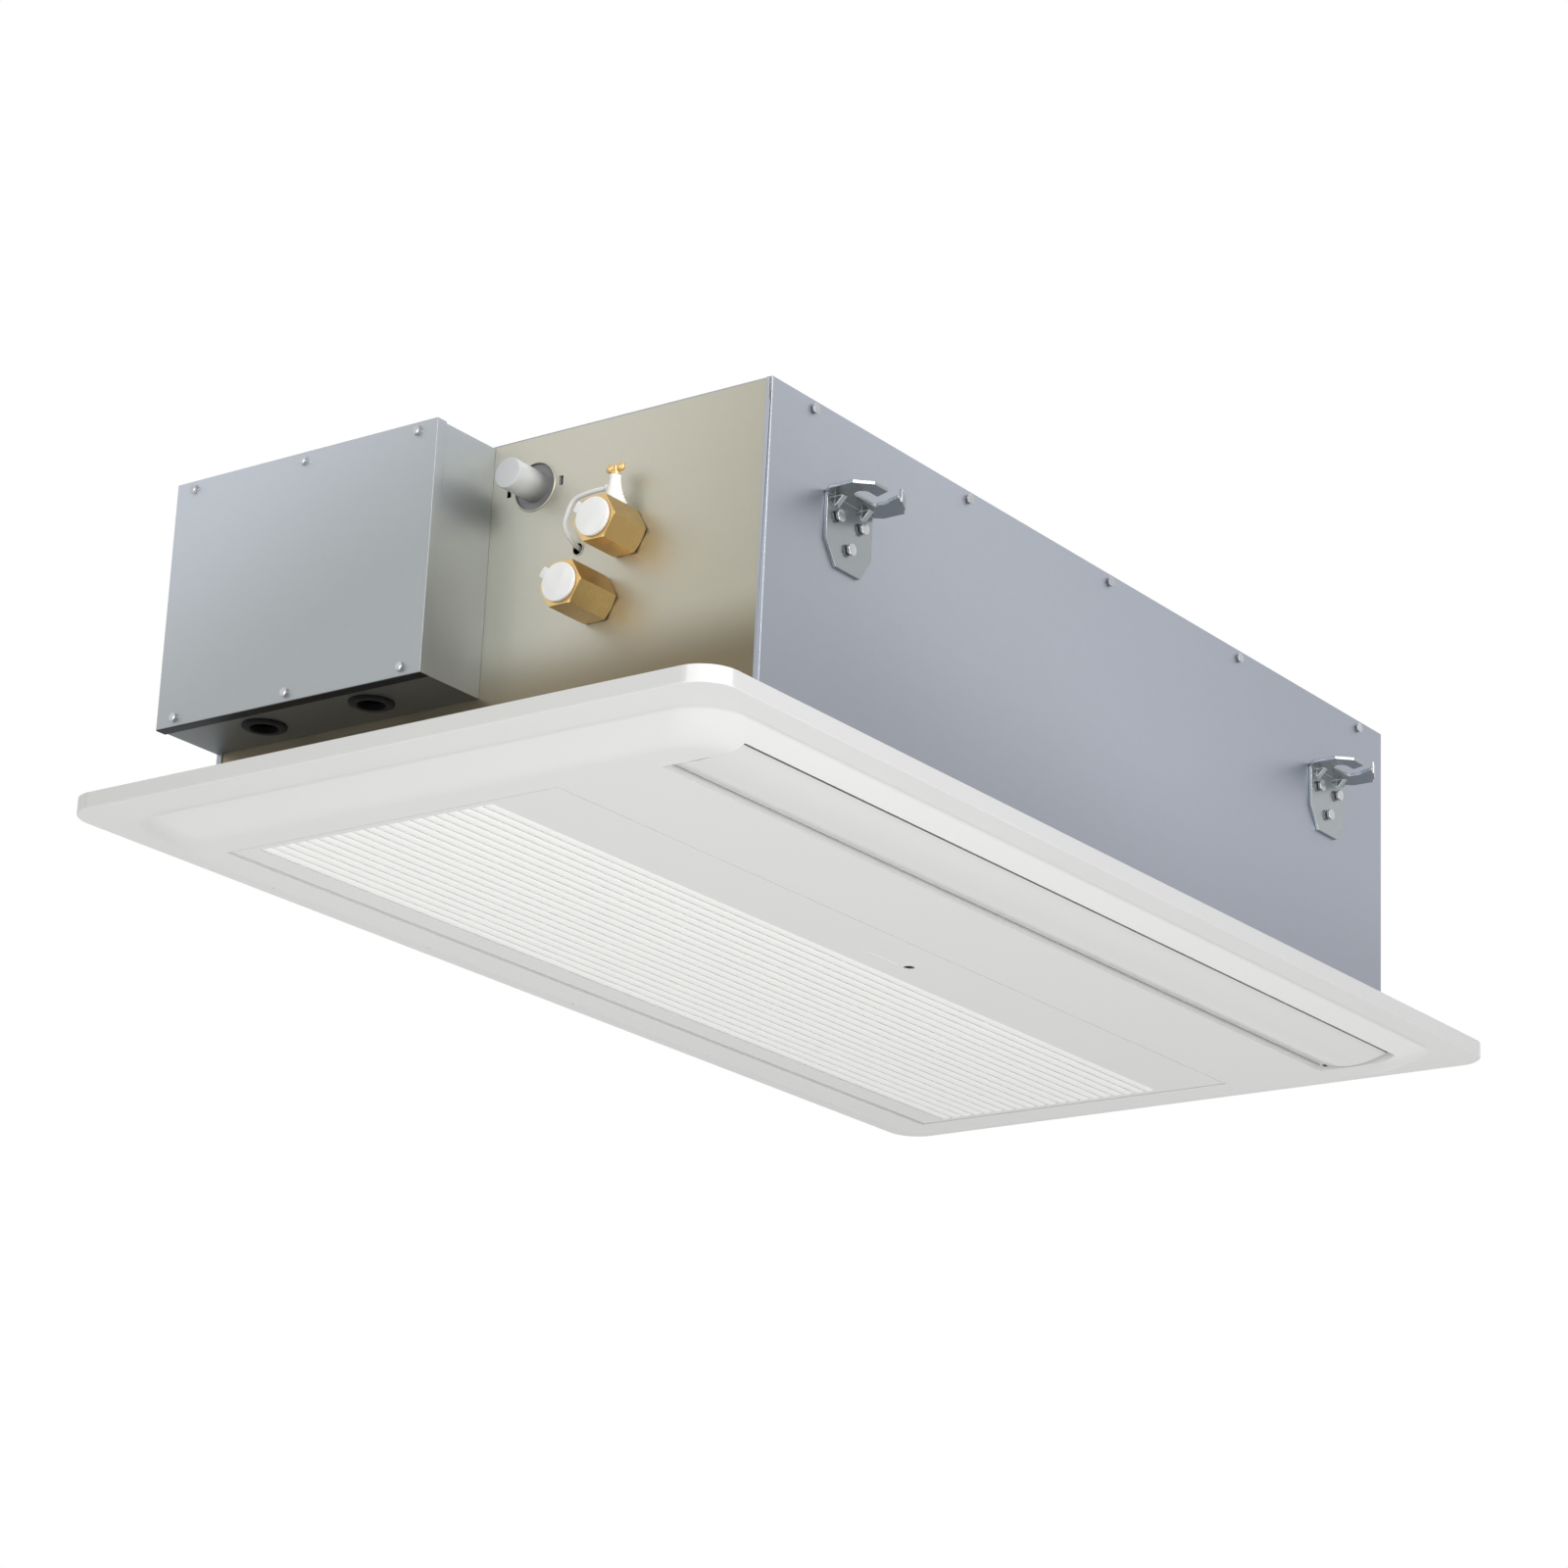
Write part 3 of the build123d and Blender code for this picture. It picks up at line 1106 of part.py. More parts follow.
def return_bend(x, start, end, side):
    """A tube from one tube end to another, out along X and back in five short runs."""
    middle = Vector(x, (start[0] + end[0]) / 2, (start[1] + end[1]) / 2)
    across = Vector(0, end[0] - start[0], end[1] - start[1]) / 2
    out = Vector(side * across.length, 0, 0)
    near = tan(pi / 8)
    runs = [middle + across * width + out * reach
            for width, reach in ((-1, 0), (-1, near), (-near, 1), (near, 1), (1, near), (1, 0))]
    section = Plane(runs[0], z_dir=(side, 0, 0)) * RegularPolygon(TUBE_R, SMALL)
    return sweep(section, path=Polyline(*runs), transition=Transition.RIGHT)


def coil_return_bends():
    """Hairpins across the two rows at the blind end, and bends between tube pairs at the other end."""
    x = coil_half + END_PLATE
    rows = tube_rows()
    bends = [return_bend(x, coil_point(row, -ROW_PITCH / 2), coil_point(row, ROW_PITCH / 2), 1) for row in rows]
    for low, high in zip(rows[0::2], rows[1::2]):
        bends.append(return_bend(-x, coil_point(low, -ROW_PITCH / 2), coil_point(high, -ROW_PITCH / 2), -1))
    return bends


def coil_headers():
    """The two headers, each with three feeders into the coil."""
    rows = tube_rows()
    headers = []
    for group in (rows[:TUBES // 2], rows[TUBES // 2:]):
        y, z = coil_point(group[0] - HEADER_END, ROW_PITCH / 2)
        length = group[-1] - group[0] + 2 * HEADER_END
        header = rod((HEADER_X, y, z), (0, up_y, up_z), HEADER_R, length, PLAIN)
        for row in group:
            feeder = (-coil_half - END_PLATE, *coil_point(row, ROW_PITCH / 2))
            header += rod(feeder, (-1, 0, 0), TUBE_R, -coil_half - END_PLATE - HEADER_X, SMALL)
        headers.append(header)
    headers[0] -= coupling(LOWER_Y, LOWER_Z, LOWER_REACH)
    headers[1] -= coupling(UPPER_Y, UPPER_Z, UPPER_REACH)
    return headers


def polar(radius, angle):
    """A (y, z) point round the fan's axis."""
    return FAN_Y + radius * cos(radians(angle)), FAN_Z + radius * sin(radians(angle))


def blade_outline(angle):
    """The outline of one forward-curved blade, round the fan's axis."""
    tip = WHEEL_R - BLADE_INSET
    bow = (WHEEL_INNER_R + tip) / 2
    line = ((WHEEL_INNER_R, 0), (bow, BLADE_SWEEP * BLADE_BOW), (tip, BLADE_SWEEP))
    front = [polar(radius, angle + turn) for radius, turn in line]
    back = [polar(radius, angle + turn + BLADE_THICK_DEG) for radius, turn in reversed(line)]
    return front + back


def fan_wheel(x, side):
    """A single-inlet wheel: a back plate on the motor side, forward-curved blades and an end ring."""
    back = x - side * WHEEL_WIDTH / 2
    out = (side, 0, 0)
    centre = (FAN_Y, FAN_Z)
    front = back + side * WHEEL_WIDTH
    wheel = rod((back, *centre), out, WHEEL_R, WHEEL_PLATE, FINE)
    wheel += pipe((front, *centre), (-side, 0, 0), WHEEL_R, WHEEL_INNER_R, WHEEL_PLATE, FINE, FINE)
    ends = sorted((back + side * WHEEL_PLATE, front - side * WHEEL_PLATE))
    for index in range(BLADES):
        wheel += prism_x(blade_outline(360 / BLADES * index), *ends)
    wheel += rod((back, *centre), out, HUB_R, HUB_LENGTH, PLAIN)
    return wheel - hole((back, *centre), out, SHAFT_R + RUN / 2, HUB_LENGTH + 1, PLAIN)


def fan_shaft():
    """The shaft that runs through the motor and carries both wheels."""
    half = FAN_X - WHEEL_WIDTH / 2 + HUB_LENGTH + SHAFT_END
    return rod((-half, FAN_Y, FAN_Z), (1, 0, 0), SHAFT_R, 2 * half, PLAIN)


def volute_centres():
    """The centres and radii of the scroll's four arcs, from the top round by the far side."""
    step = SCROLL_STEP
    tight = WHEEL_R + SCROLL_GAP
    return [((FAN_Y - step / 2, FAN_Z + step / 2), tight + 3 * step),
            ((FAN_Y + step / 2, FAN_Z + step / 2), tight + 2 * step),
            ((FAN_Y + step / 2, FAN_Z - step / 2), tight + step),
            ((FAN_Y - step / 2, FAN_Z - step / 2), tight)]


def mouth_heights():
    """The lowest and highest height of the scroll's mouth."""
    (_, top_z), top_r = volute_centres()[0]
    (_, low_z), low_r = volute_centres()[3]
    return low_z + low_r * sin(radians(TONGUE_ANGLE)), top_z + top_r


def volute_outline(grow):
    """The scroll's outline, grown outwards, as (y, z) points."""
    points = []
    angles = (90, 0, -90, -180, TONGUE_ANGLE - 360)
    for index, ((y, z), radius) in enumerate(volute_centres()):
        start = angles[index]
        turn = angles[index + 1] - start
        size = radius + grow
        for step in range(SCROLL_CHORDS + 1):
            angle = radians(start + turn * step / SCROLL_CHORDS)
            points.append((y + size * cos(angle), z + size * sin(angle)))
    mouth = DECK_PLATE_Y + DECK_PLATE
    low = mouth_heights()[0] - grow
    points += [(points[-1][0] - SCROLL_STEP, low), (mouth, low), (mouth, points[0][1])]
    return [point for point, before in zip(points, points[-1:] + points) if dist(point, before) > CLEAR]


def scroll_housing(x, side):
    """A fan housing: a four-arc scroll with its inlet on the outer side and its mouth on the partition."""
    half = scroll_width / 2
    shell = prism_x(volute_outline(SCROLL_WALL), x - half, x + half)
    room = scroll_width - 2 * SCROLL_WALL
    shell -= prism_x(volute_outline(0), x - room / 2, x + room / 2)
    outer = x + side * (half - SCROLL_WALL - 1)
    inner = x - side * (half - SCROLL_WALL - 1)
    shell -= rod((outer, FAN_Y, FAN_Z), (side, 0, 0), WHEEL_INNER_R, SCROLL_WALL + 2, FINE)
    shell -= rod((inner, FAN_Y, FAN_Z), (-side, 0, 0), HUB_R + HUB_HOLE_GAP, SCROLL_WALL + 2, PLAIN)
    low, high = mouth_heights()
    reach = half + SCROLL_FLANGE
    y0 = DECK_PLATE_Y + DECK_PLATE
    flange = block(x - reach, x + reach, y0, y0 + SCROLL_WALL, low - SCROLL_FLANGE, high + SCROLL_WALL)
    flange -= block(x - room / 2, x + room / 2, y0, y0 + SCROLL_WALL, low, high)
    return shell + flange


def fan_motor():
    """The motor, with a rib round each end bell."""
    half = MOTOR_LENGTH / 2
    body = rod((-half, FAN_Y, FAN_Z), (1, 0, 0), MOTOR_R, MOTOR_LENGTH, FINE)
    ends = body.faces().sort_by(Axis.X)
    body = chamfer(ends[0].edges() + ends[-1].edges(), MOTOR_CHAMFER)
    for side in (-1, 1):
        body += rod((side * half, FAN_Y, FAN_Z), (side, 0, 0), MOTOR_BOSS_R, MOTOR_BOSS, PLAIN)
    return body - hole((0, FAN_Y, FAN_Z), (1, 0, 0), SHAFT_R + RUN, MOTOR_LENGTH, PLAIN)


def motor_bracket():
    """The strap round the motor, with two legs up to the top sheet."""
    half = STRAP_WIDTH / 2
    ring = MOTOR_R + STRAP
    top = casing_top - SHEET
    strap = rod((-half, FAN_Y, FAN_Z), (1, 0, 0), ring, STRAP_WIDTH, FINE)
    strap -= rod((-half, FAN_Y, FAN_Z), (1, 0, 0), MOTOR_R, STRAP_WIDTH, FINE)
    for side in (-1, 1):
        leg = sorted((FAN_Y + side * ring, FAN_Y + side * (ring - STRAP)))
        foot = sorted((FAN_Y + side * ring, FAN_Y + side * (ring + STRAP_FOOT)))
        strap += block(-half, half, *leg, FAN_Z, top)
        strap += block(-half, half, *foot, top - STRAP, top)
    return strap


def write(node, shape):
    """Write one node; a list of shapes becomes one compound of separate solids."""
    solids = []
    for piece in shape if isinstance(shape, list) else [shape]:
        solids.extend(piece.solids())
    whole = Compound(children=solids) if len(solids) > 1 else solids[0]
    export_step(whole, "parts/" + node + ".step")


def main():
    """Build every node and write it."""
    os.makedirs("parts", exist_ok=True)
    write("casing_top_panel", casing_top_panel())
    write("casing_side_front", casing_side(-1))
    write("casing_side_rear", casing_side(1))
    write("casing_base_plate", casing_base_plate())
    write("casing_screws", casing_screws())
    write("end_panel_connection", end_panel_connection())
    write("end_panel_blind", end_panel(1))
    write("partition_plate", partition_plate())
    write("duct_insulation", duct_insulation())
    for number, (x, side) in enumerate(bracket_places(), start=1):
        write("hanger_bracket_" + str(number), hanger_bracket(x, side))
    write("bracket_screws", bracket_screws())
    write("control_box_body", control_box_body())
    write("control_box_cover", control_box_cover())
    write("control_box_screws", control_box_screws())
    write("cable_grommets", cable_grommets())
    write("control_board", control_board())
    write("terminal_block", terminal_block())
    write("motor_capacitor", motor_capacitor())
    write("coupling_upper", coupling_upper())
    write("coupling_lower", coupling(LOWER_Y, LOWER_Z, LOWER_REACH))
    write("cap_upper", pipe_cap(UPPER_Y, UPPER_Z, UPPER_REACH))
    write("cap_lower", pipe_cap(LOWER_Y, LOWER_Z, LOWER_REACH))
    write("air_vent_body", air_vent_body())
    write("air_vent_screw", air_vent_screw())
    write("vent_tube", vent_tube())
    write("discharge_spigot", discharge_spigot())
    write("pump_hose", pump_hose())
    write("condensate_pump", condensate_pump())
    write("drain_pan", drain_pan())
    write("coil_fin_pack", coil_fin_pack())
    write("coil_end_plates", coil_end_plates())
    write("coil_return_bends", coil_return_bends())
    write("coil_headers", coil_headers())
    write("fan_shaft", fan_shaft())
    for name, side in (("left", -1), ("right", 1)):
        write("fan_wheel_" + name, fan_wheel(side * FAN_X, side))
        write("scroll_housing_" + name, scroll_housing(side * FAN_X, side))
    write("fan_motor", fan_motor())
    write("motor_bracket", motor_bracket())
    write("fascia_frame", fascia_frame())
    write("fascia_seal", fascia_seal())
    write("fascia_screws", fascia_screws())
    write("intake_door", intake_door())
    write("intake_grille", intake_grille())
    write("filter_frame", filter_frame())
    write("filter_mesh", filter_mesh())
    write("sensor_lens", sensor_lens())
    write("door_hinge_pins", door_hinge_pins())
    write("door_catches", door_catches())
    write("air_flap", air_flap())
    write("flap_bushes", flap_bushes())
    write("flap_motor", flap_motor())


main()
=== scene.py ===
"""Looks of a one-way ceiling cassette fan coil unit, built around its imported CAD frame."""

import json
import logging
import math
from collections.abc import Callable, Sequence
from dataclasses import dataclass
from enum import Enum
from functools import lru_cache
from typing import Any

import bmesh
import bpy
from mathutils import Matrix, Vector

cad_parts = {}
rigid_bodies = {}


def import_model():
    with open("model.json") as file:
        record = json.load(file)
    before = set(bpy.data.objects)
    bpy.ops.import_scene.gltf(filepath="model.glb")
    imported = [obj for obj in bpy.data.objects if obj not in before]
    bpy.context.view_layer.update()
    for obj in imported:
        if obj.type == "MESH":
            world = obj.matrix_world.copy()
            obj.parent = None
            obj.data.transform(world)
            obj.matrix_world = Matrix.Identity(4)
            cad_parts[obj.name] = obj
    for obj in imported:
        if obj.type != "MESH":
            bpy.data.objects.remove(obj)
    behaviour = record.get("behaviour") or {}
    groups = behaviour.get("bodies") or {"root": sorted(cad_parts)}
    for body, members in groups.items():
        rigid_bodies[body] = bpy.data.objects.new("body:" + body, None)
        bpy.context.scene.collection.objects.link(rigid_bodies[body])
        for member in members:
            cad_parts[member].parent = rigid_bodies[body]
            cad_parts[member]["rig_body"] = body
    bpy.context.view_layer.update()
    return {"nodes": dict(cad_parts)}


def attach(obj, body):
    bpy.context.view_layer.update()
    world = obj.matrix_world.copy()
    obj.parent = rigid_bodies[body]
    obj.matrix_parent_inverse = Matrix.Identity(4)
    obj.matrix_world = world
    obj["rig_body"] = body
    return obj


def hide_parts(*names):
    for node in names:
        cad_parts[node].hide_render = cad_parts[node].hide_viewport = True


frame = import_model()
log = logging.getLogger("fan_coil_unit")

Colour = tuple[float, float, float]
Point = tuple[float, float, float]
Pair = tuple[float, float]
Profile = Sequence[Pair]
Mesh = bpy.types.Mesh

MM = 0.001
ROUND = 64
POLE = 0.01
MERGE = MM / 1000
ON_PLANE = 0.05 * MM
FLAT_ANGLE = math.radians(0.5)
SMOOTH_ANGLE = math.radians(38)
EASE_SHARE = 0.45
EASE_STEPS = 10

X = (1.0, 0.0, 0.0)
Y = (0.0, 1.0, 0.0)
Z = (0.0, 0.0, 1.0)
BACK_X = (-1.0, 0.0, 0.0)
NEAR = (0.0, -1.0, 0.0)
DOWN = (0.0, 0.0, -1.0)


class Cut(Enum):
    """How one solid is combined with another."""

    JOIN = "UNION"
    TAKE = "DIFFERENCE"
    KEEP = "INTERSECT"


# Node trees


class Socket:
    """An output of a node, whose arithmetic adds Math nodes to its tree."""

    def __init__(self, graph: "Graph", socket: bpy.types.NodeSocket) -> None:
        """Hold a socket and the graph it belongs to."""
        self.graph = graph
        self.socket = socket

    def math(self, operation: str, other: Any) -> "Socket":
        """Add a Math node on this socket and another value or socket."""
        return self.graph.node("ShaderNodeMath", {"operation": operation}, {0: self, 1: other})

    def __add__(self, other: Any) -> "Socket":
        """Return self + other."""
        return self.math("ADD", other)

    def __sub__(self, other: Any) -> "Socket":
        """Return self - other."""
        return self.math("SUBTRACT", other)

    def __mul__(self, other: Any) -> "Socket":
        """Return self * other."""
        return self.math("MULTIPLY", other)

    def __or__(self, other: Any) -> "Socket":
        """Return the larger of self and other."""
        return self.math("MAXIMUM", other)

    __radd__ = __add__
    __rmul__ = __mul__


class Graph:
    """A node tree in which one method adds every node."""

    def __init__(self, tree: bpy.types.NodeTree) -> None:
        """Hold the tree."""
        self.tree = tree

    @staticmethod
    def find(sockets: Any, key: int | str) -> bpy.types.NodeSocket:
        """Find one of a node's inputs or outputs by its index, identifier or name."""
        if isinstance(key, str):
            for socket in sockets:
                if socket.identifier == key:
                    return socket
        return sockets[key]

    def node(self, kind: str, settings: dict[str, Any] | None = None,
             inputs: dict[int | str, Any] | None = None, output: int | str = 0) -> Socket:
        """Add a node.

        Args:
            kind: The node's type.
            settings: Properties that are set first.
            inputs: Values or sockets for the node's inputs.
            output: The output to return.

        Returns:
            The chosen output.
        """
        made = self.tree.nodes.new(kind)
        for name, value in (settings or {}).items():
            setattr(made, name, value)
        for key, value in (inputs or {}).items():
            self.feed(self.find(made.inputs, key), value)
        return Socket(self, self.find(made.outputs, output))

    def feed(self, target: bpy.types.NodeSocket, value: Any) -> None:
        """Link a socket or set a plain value on an input."""
        if isinstance(value, Socket):
            self.tree.links.new(value.socket, target)
        else:
            target.default_value = value


@dataclass(frozen=True)
class PaintedShade:
    """Painted shade: where a finish is darkened towards a shade colour, in millimetres along a direction."""

    along: Point
    start: float
    end: float
    shade_colour: Colour


class Paint(Graph):
    """A material's tree: a Principled shader and the patterns that the finishes share."""

    def __init__(self, name: str, constants: dict[str, Any]) -> None:
        """Make a material, with values for the shader's own sockets."""
        self.material = bpy.data.materials.new(name)
        self.material.use_nodes = True
        super().__init__(self.material.node_tree)
        self.tree.nodes.clear()
        self.shader = self.tree.nodes.new("ShaderNodeBsdfPrincipled")
        end = self.tree.nodes.new("ShaderNodeOutputMaterial")
        self.tree.links.new(self.shader.outputs[0], end.inputs[0])
        for key, value in constants.items():
            self.shader.inputs[key].default_value = value

    def place(self, stretch: Point = (1.0, 1.0, 1.0)) -> Socket:
        """Object coordinates, stretched."""
        coordinates = self.node("ShaderNodeTexCoord", output="Object")
        return self.node("ShaderNodeMapping", None, {"Vector": coordinates, "Scale": stretch})

    def noise(self, scale: float, detail: float = 2.0, stretch: Point = (1.0, 1.0, 1.0)) -> Socket:
        """Cloudy noise between 0 and 1."""
        return self.node("ShaderNodeTexNoise", None,
                         {"Vector": self.place(stretch), "Scale": scale, "Detail": detail})

    def spangle(self, scale: float) -> Socket:
        """Flat random cells, as in a zinc coat."""
        cells = self.node("ShaderNodeTexVoronoi", None, {"Vector": self.place(), "Scale": scale}, "Color")
        return self.node("ShaderNodeSeparateColor", None, {0: cells})

    def blend(self, factor: Socket, low: Any, high: Colour, kind: str = "MIX") -> Socket:
        """Mix a colour or a socket with another colour."""
        first = low if isinstance(low, Socket) else (*low, 1.0)
        return self.node("ShaderNodeMix", {"data_type": "RGBA", "blend_type": kind},
                         {"Factor_Float": factor, "A_Color": first, "B_Color": (*high, 1.0)}, "Result_Color")

    def add_painted_shade(self, colour: Socket, one_shade: PaintedShade) -> Socket:
        """Multiply a colour by a painted shade's colour, as far as the shade reaches."""
        reach = self.node("ShaderNodeVectorMath", {"operation": "DOT_PRODUCT"},
                          {0: self.place(), 1: one_shade.along}, "Value")
        share = self.node("ShaderNodeMapRange", {"interpolation_type": "SMOOTHSTEP"},
                          {"Value": reach, "From Min": one_shade.start * MM, "From Max": one_shade.end * MM})
        return self.blend(share, colour, one_shade.shade_colour, "MULTIPLY")

    def drive(self, name: str, value: Socket) -> None:
        """Feed one of the shader's inputs."""
        self.feed(self.shader.inputs[name], value)

    def emboss(self, height: Socket, strength: float, distance: float) -> None:
        """Bump the surface by a height pattern."""
        bump = self.node("ShaderNodeBump", None, {"Strength": strength, "Distance": distance, "Height": height})
        self.drive("Normal", bump)


def shade(colour: Colour, share: float) -> Colour:
    """A colour made lighter (above 1) or darker (below 1)."""
    red, green, blue = (min(1.0, part * share) for part in colour)
    return red, green, blue


# Finishes


@dataclass(frozen=True)
class Finish:
    """A finish of one of the record's material slots."""

    slot: str
    colour: Colour
    roughness: float = 0.4
    shine: float = 0.5
    painted_shades: tuple[PaintedShade, ...] = ()

    def paint(self) -> Paint:
        """Make the finish's node tree."""
        raise NotImplementedError

    def start(self, constants: dict[str, Any]) -> Paint:
        """Begin the node tree with the shader's constants."""
        return Paint(self.slot, {"Specular IOR Level": self.shine, **constants})

    def colour_by(self, paint: Paint, pattern: Socket, low: Colour, high: Colour) -> None:
        """Colour the shader between two colours by a pattern, with the painted shades on top."""
        mixed = paint.blend(pattern, low, high)
        for one_shade in self.painted_shades:
            mixed = paint.add_painted_shade(mixed, one_shade)
        paint.drive("Base Color", mixed)


@lru_cache(maxsize=None)
def material_of(finish: Finish) -> bpy.types.Material:
    """The finish's material, made once."""
    return finish.paint().material


@dataclass(frozen=True)
class SheetSteel(Finish):
    """Galvanised sheet with faint spangle, cloud and rolling streaks."""

    contrast: float = 0.12

    def paint(self) -> Paint:
        """Make the node tree."""
        paint = self.start({"Metallic": 1.0})
        cloud = paint.noise(1.7, 1.0)
        streak = paint.noise(90.0, 3.0, (0.04, 0.04, 1.0))
        mottle = 0.88 * cloud + 0.06 * streak + 0.06 * paint.spangle(160.0)
        self.colour_by(paint, mottle, shade(self.colour, 1 - self.contrast), shade(self.colour, 1 + self.contrast))
        paint.drive("Roughness", self.roughness - 0.04 + 0.08 * mottle)
        paint.emboss(paint.noise(5.0, 1.0), 0.1, 0.0004)
        return paint


@dataclass(frozen=True)
class Moulding(Finish):
    """Moulded plastic with a fine grain and a light coat."""

    coat: float = 0.15
    grain: float = 0.05
    grain_scale: float = 900.0

    def paint(self) -> Paint:
        """Make the node tree."""
        paint = self.start({"Coat Weight": self.coat, "Coat Roughness": self.roughness * 0.7})
        self.colour_by(paint, paint.noise(6.0), shade(self.colour, 0.985), shade(self.colour, 1.01))
        grain = paint.noise(self.grain_scale, 1.0)
        paint.drive("Roughness", self.roughness - 0.03 + 0.06 * grain)
        paint.emboss(grain, self.grain, 0.1 / self.grain_scale)
        return paint


@dataclass(frozen=True)
class TurnedMetal(Finish):
    """Bare metal with a tarnish that varies and fine tool marks."""

    tarnish: Colour = (0.3, 0.2, 0.1)
    amount: float = 0.3

    def paint(self) -> Paint:
        """Make the node tree."""
        paint = self.start({"Metallic": 1.0})
        cloud = paint.noise(45.0, 4.0)
        self.colour_by(paint, cloud * self.amount, self.colour, self.tarnish)
        paint.drive("Roughness", self.roughness - 0.06 + 0.14 * cloud)
        paint.emboss(paint.noise(260.0), 0.12, 0.0002)
        return paint


@dataclass(frozen=True)
class SoftStuff(Finish):
    """Rubber, foam or cloth: matt, with a visible texture."""

    texture_scale: float = 400.0
    depth: float = 0.0004

    def paint(self) -> Paint:
        """Make the node tree."""
        paint = self.start({"Sheen Weight": 0.1})
        pores = paint.noise(self.texture_scale, 3.0)
        self.colour_by(paint, pores, shade(self.colour, 0.8), shade(self.colour, 1.2))
        paint.drive("Roughness", self.roughness + 0.1 * pores)
        paint.emboss(pores, 0.5, self.depth)
        return paint


# Painted shade on the casing walls: darker towards the far (+X) end, towards the bottom above the fascia, and towards
# the lower connection (-X) end.
CASING_STEEL = SheetSteel("casing_steel", (0.435, 0.465, 0.520), 0.42,
                          painted_shades=(PaintedShade(X, -450.0, 500.0, (0.80, 0.805, 0.82)),
                                 PaintedShade(DOWN, -190.0, -40.0, (0.88, 0.88, 0.89)),
                                 PaintedShade((-0.5, 0.0, -0.87), -200.0, 120.0, (0.82, 0.82, 0.82))))
# Painted reflection and shade on the end walls: the warm base colour is a painted warm reflection; darker towards the
# lower near (-Y) edge, and darkening to brown from z 145 to 85 mm, a painted shadow under the control box.
END_STEEL = SheetSteel("end_steel", (0.530, 0.515, 0.440), 0.44,
                       painted_shades=(PaintedShade((0.0, -0.9, -0.44), -70.0, 260.0, (0.66, 0.655, 0.62)),
                              PaintedShade(DOWN, -145.0, -85.0, (0.48, 0.42, 0.34))))
# Painted shade on the control box: darker towards its lower near part, and a painted shadow that turns its underside,
# below z 95.2 mm, near black.
BOX_STEEL = SheetSteel("box_steel", (0.500, 0.530, 0.575), 0.50, contrast=0.1,
                       painted_shades=(PaintedShade((0.0, -0.4, -0.92), -400.0, -170.0, (0.70, 0.70, 0.66)),
                              PaintedShade(DOWN, -96.5, -95.2, (0.09, 0.09, 0.10))))
BRACKET_STEEL = SheetSteel("bracket_steel", (0.33, 0.355, 0.365), 0.26, contrast=0.3)
SCREW_STEEL = TurnedMetal("screw_steel", (0.66, 0.67, 0.69), 0.22, tarnish=(0.14, 0.14, 0.145), amount=0.6)
SCROLL_STEEL = SheetSteel("scroll_steel", (0.55, 0.57, 0.60), 0.38, contrast=0.08)
# Painted shade: the rim's outer faces on the near (-Y) side and at the connection (-X) end are darkened.
FASCIA_WHITE = Moulding("fascia_white", (0.725, 0.725, 0.715), 0.38, coat=0.2,
                        painted_shades=(PaintedShade(NEAR, 329.2, 329.7, (0.80, 0.80, 0.81)),
                               PaintedShade(BACK_X, 599.2, 599.7, (0.86, 0.86, 0.85))))
# Painted shadow: the flap's outer lip, past y -277.3 mm, and its heel by the outlet wall, past y -208.1 mm, are painted
# near black as the dark gaps at both edges.
FLAP_WHITE = Moulding("fascia_white", (0.67, 0.67, 0.66), 0.16, coat=0.6,
                      painted_shades=(PaintedShade(NEAR, 276.8, 277.3, (0.03, 0.03, 0.03)),
                             PaintedShade(NEAR, 208.4, 208.1, (0.02, 0.02, 0.02))))
GRILLE_WHITE = Moulding("grille_white", (0.93, 0.93, 0.905), 0.30)
CAP_WHITE = Moulding("cap_white", (0.87, 0.87, 0.855), 0.34, coat=0.1, grain=0.8, grain_scale=55.0)
TAPE_WHITE = Moulding("vent_white", (0.91, 0.91, 0.885), 0.55, coat=0.0, grain=0.3, grain_scale=300.0)
TUBE_MILKY = Moulding("tube_clear", (0.84, 0.85, 0.84), 0.25, coat=0.4)
# Painted shade: the spigot darkens towards the end wall, from x -503 to -481 mm, as the shade round its hole.
SPIGOT_GREY = Moulding("spigot_grey", (0.54, 0.55, 0.555), 0.32, coat=0.3,
                       painted_shades=(PaintedShade(X, -503.0, -481.0, (0.38, 0.38, 0.38)),))
LENS_BLACK = Moulding("lens_black", (0.004, 0.004, 0.005), 0.45, shine=0.05, coat=0.0, grain=0.0)
PAN_PLASTIC = Moulding("pan_plastic", (0.10, 0.105, 0.11), 0.45)
FAN_PLASTIC = Moulding("fan_plastic", (0.03, 0.03, 0.033), 0.42)
BOARD_GREEN = Moulding("board_green", (0.02, 0.16, 0.06), 0.28, coat=0.4)
TERMINAL_WHITE = Moulding("terminal_white", (0.66, 0.64, 0.56), 0.4)
BRASS = TurnedMetal("brass", (0.76, 0.545, 0.245), 0.28, tarnish=(0.40, 0.24, 0.09), amount=0.45)
COPPER = TurnedMetal("copper", (0.72, 0.34, 0.20), 0.28, tarnish=(0.32, 0.13, 0.08), amount=0.6)
FIN_ALUMINIUM = TurnedMetal("fin_aluminium", (0.72, 0.73, 0.74), 0.35, tarnish=(0.5, 0.5, 0.5))
MOTOR_METAL = TurnedMetal("motor_metal", (0.36, 0.37, 0.38), 0.42, tarnish=(0.22, 0.22, 0.22), amount=0.4)
BLACK_RUBBER = SoftStuff("black_rubber", (0.008, 0.008, 0.008), 0.6, shine=0.1)
DUCT_FOAM = SoftStuff("foam", (0.030, 0.031, 0.033), 0.85, shine=0.2, texture_scale=1500.0, depth=0.0003)
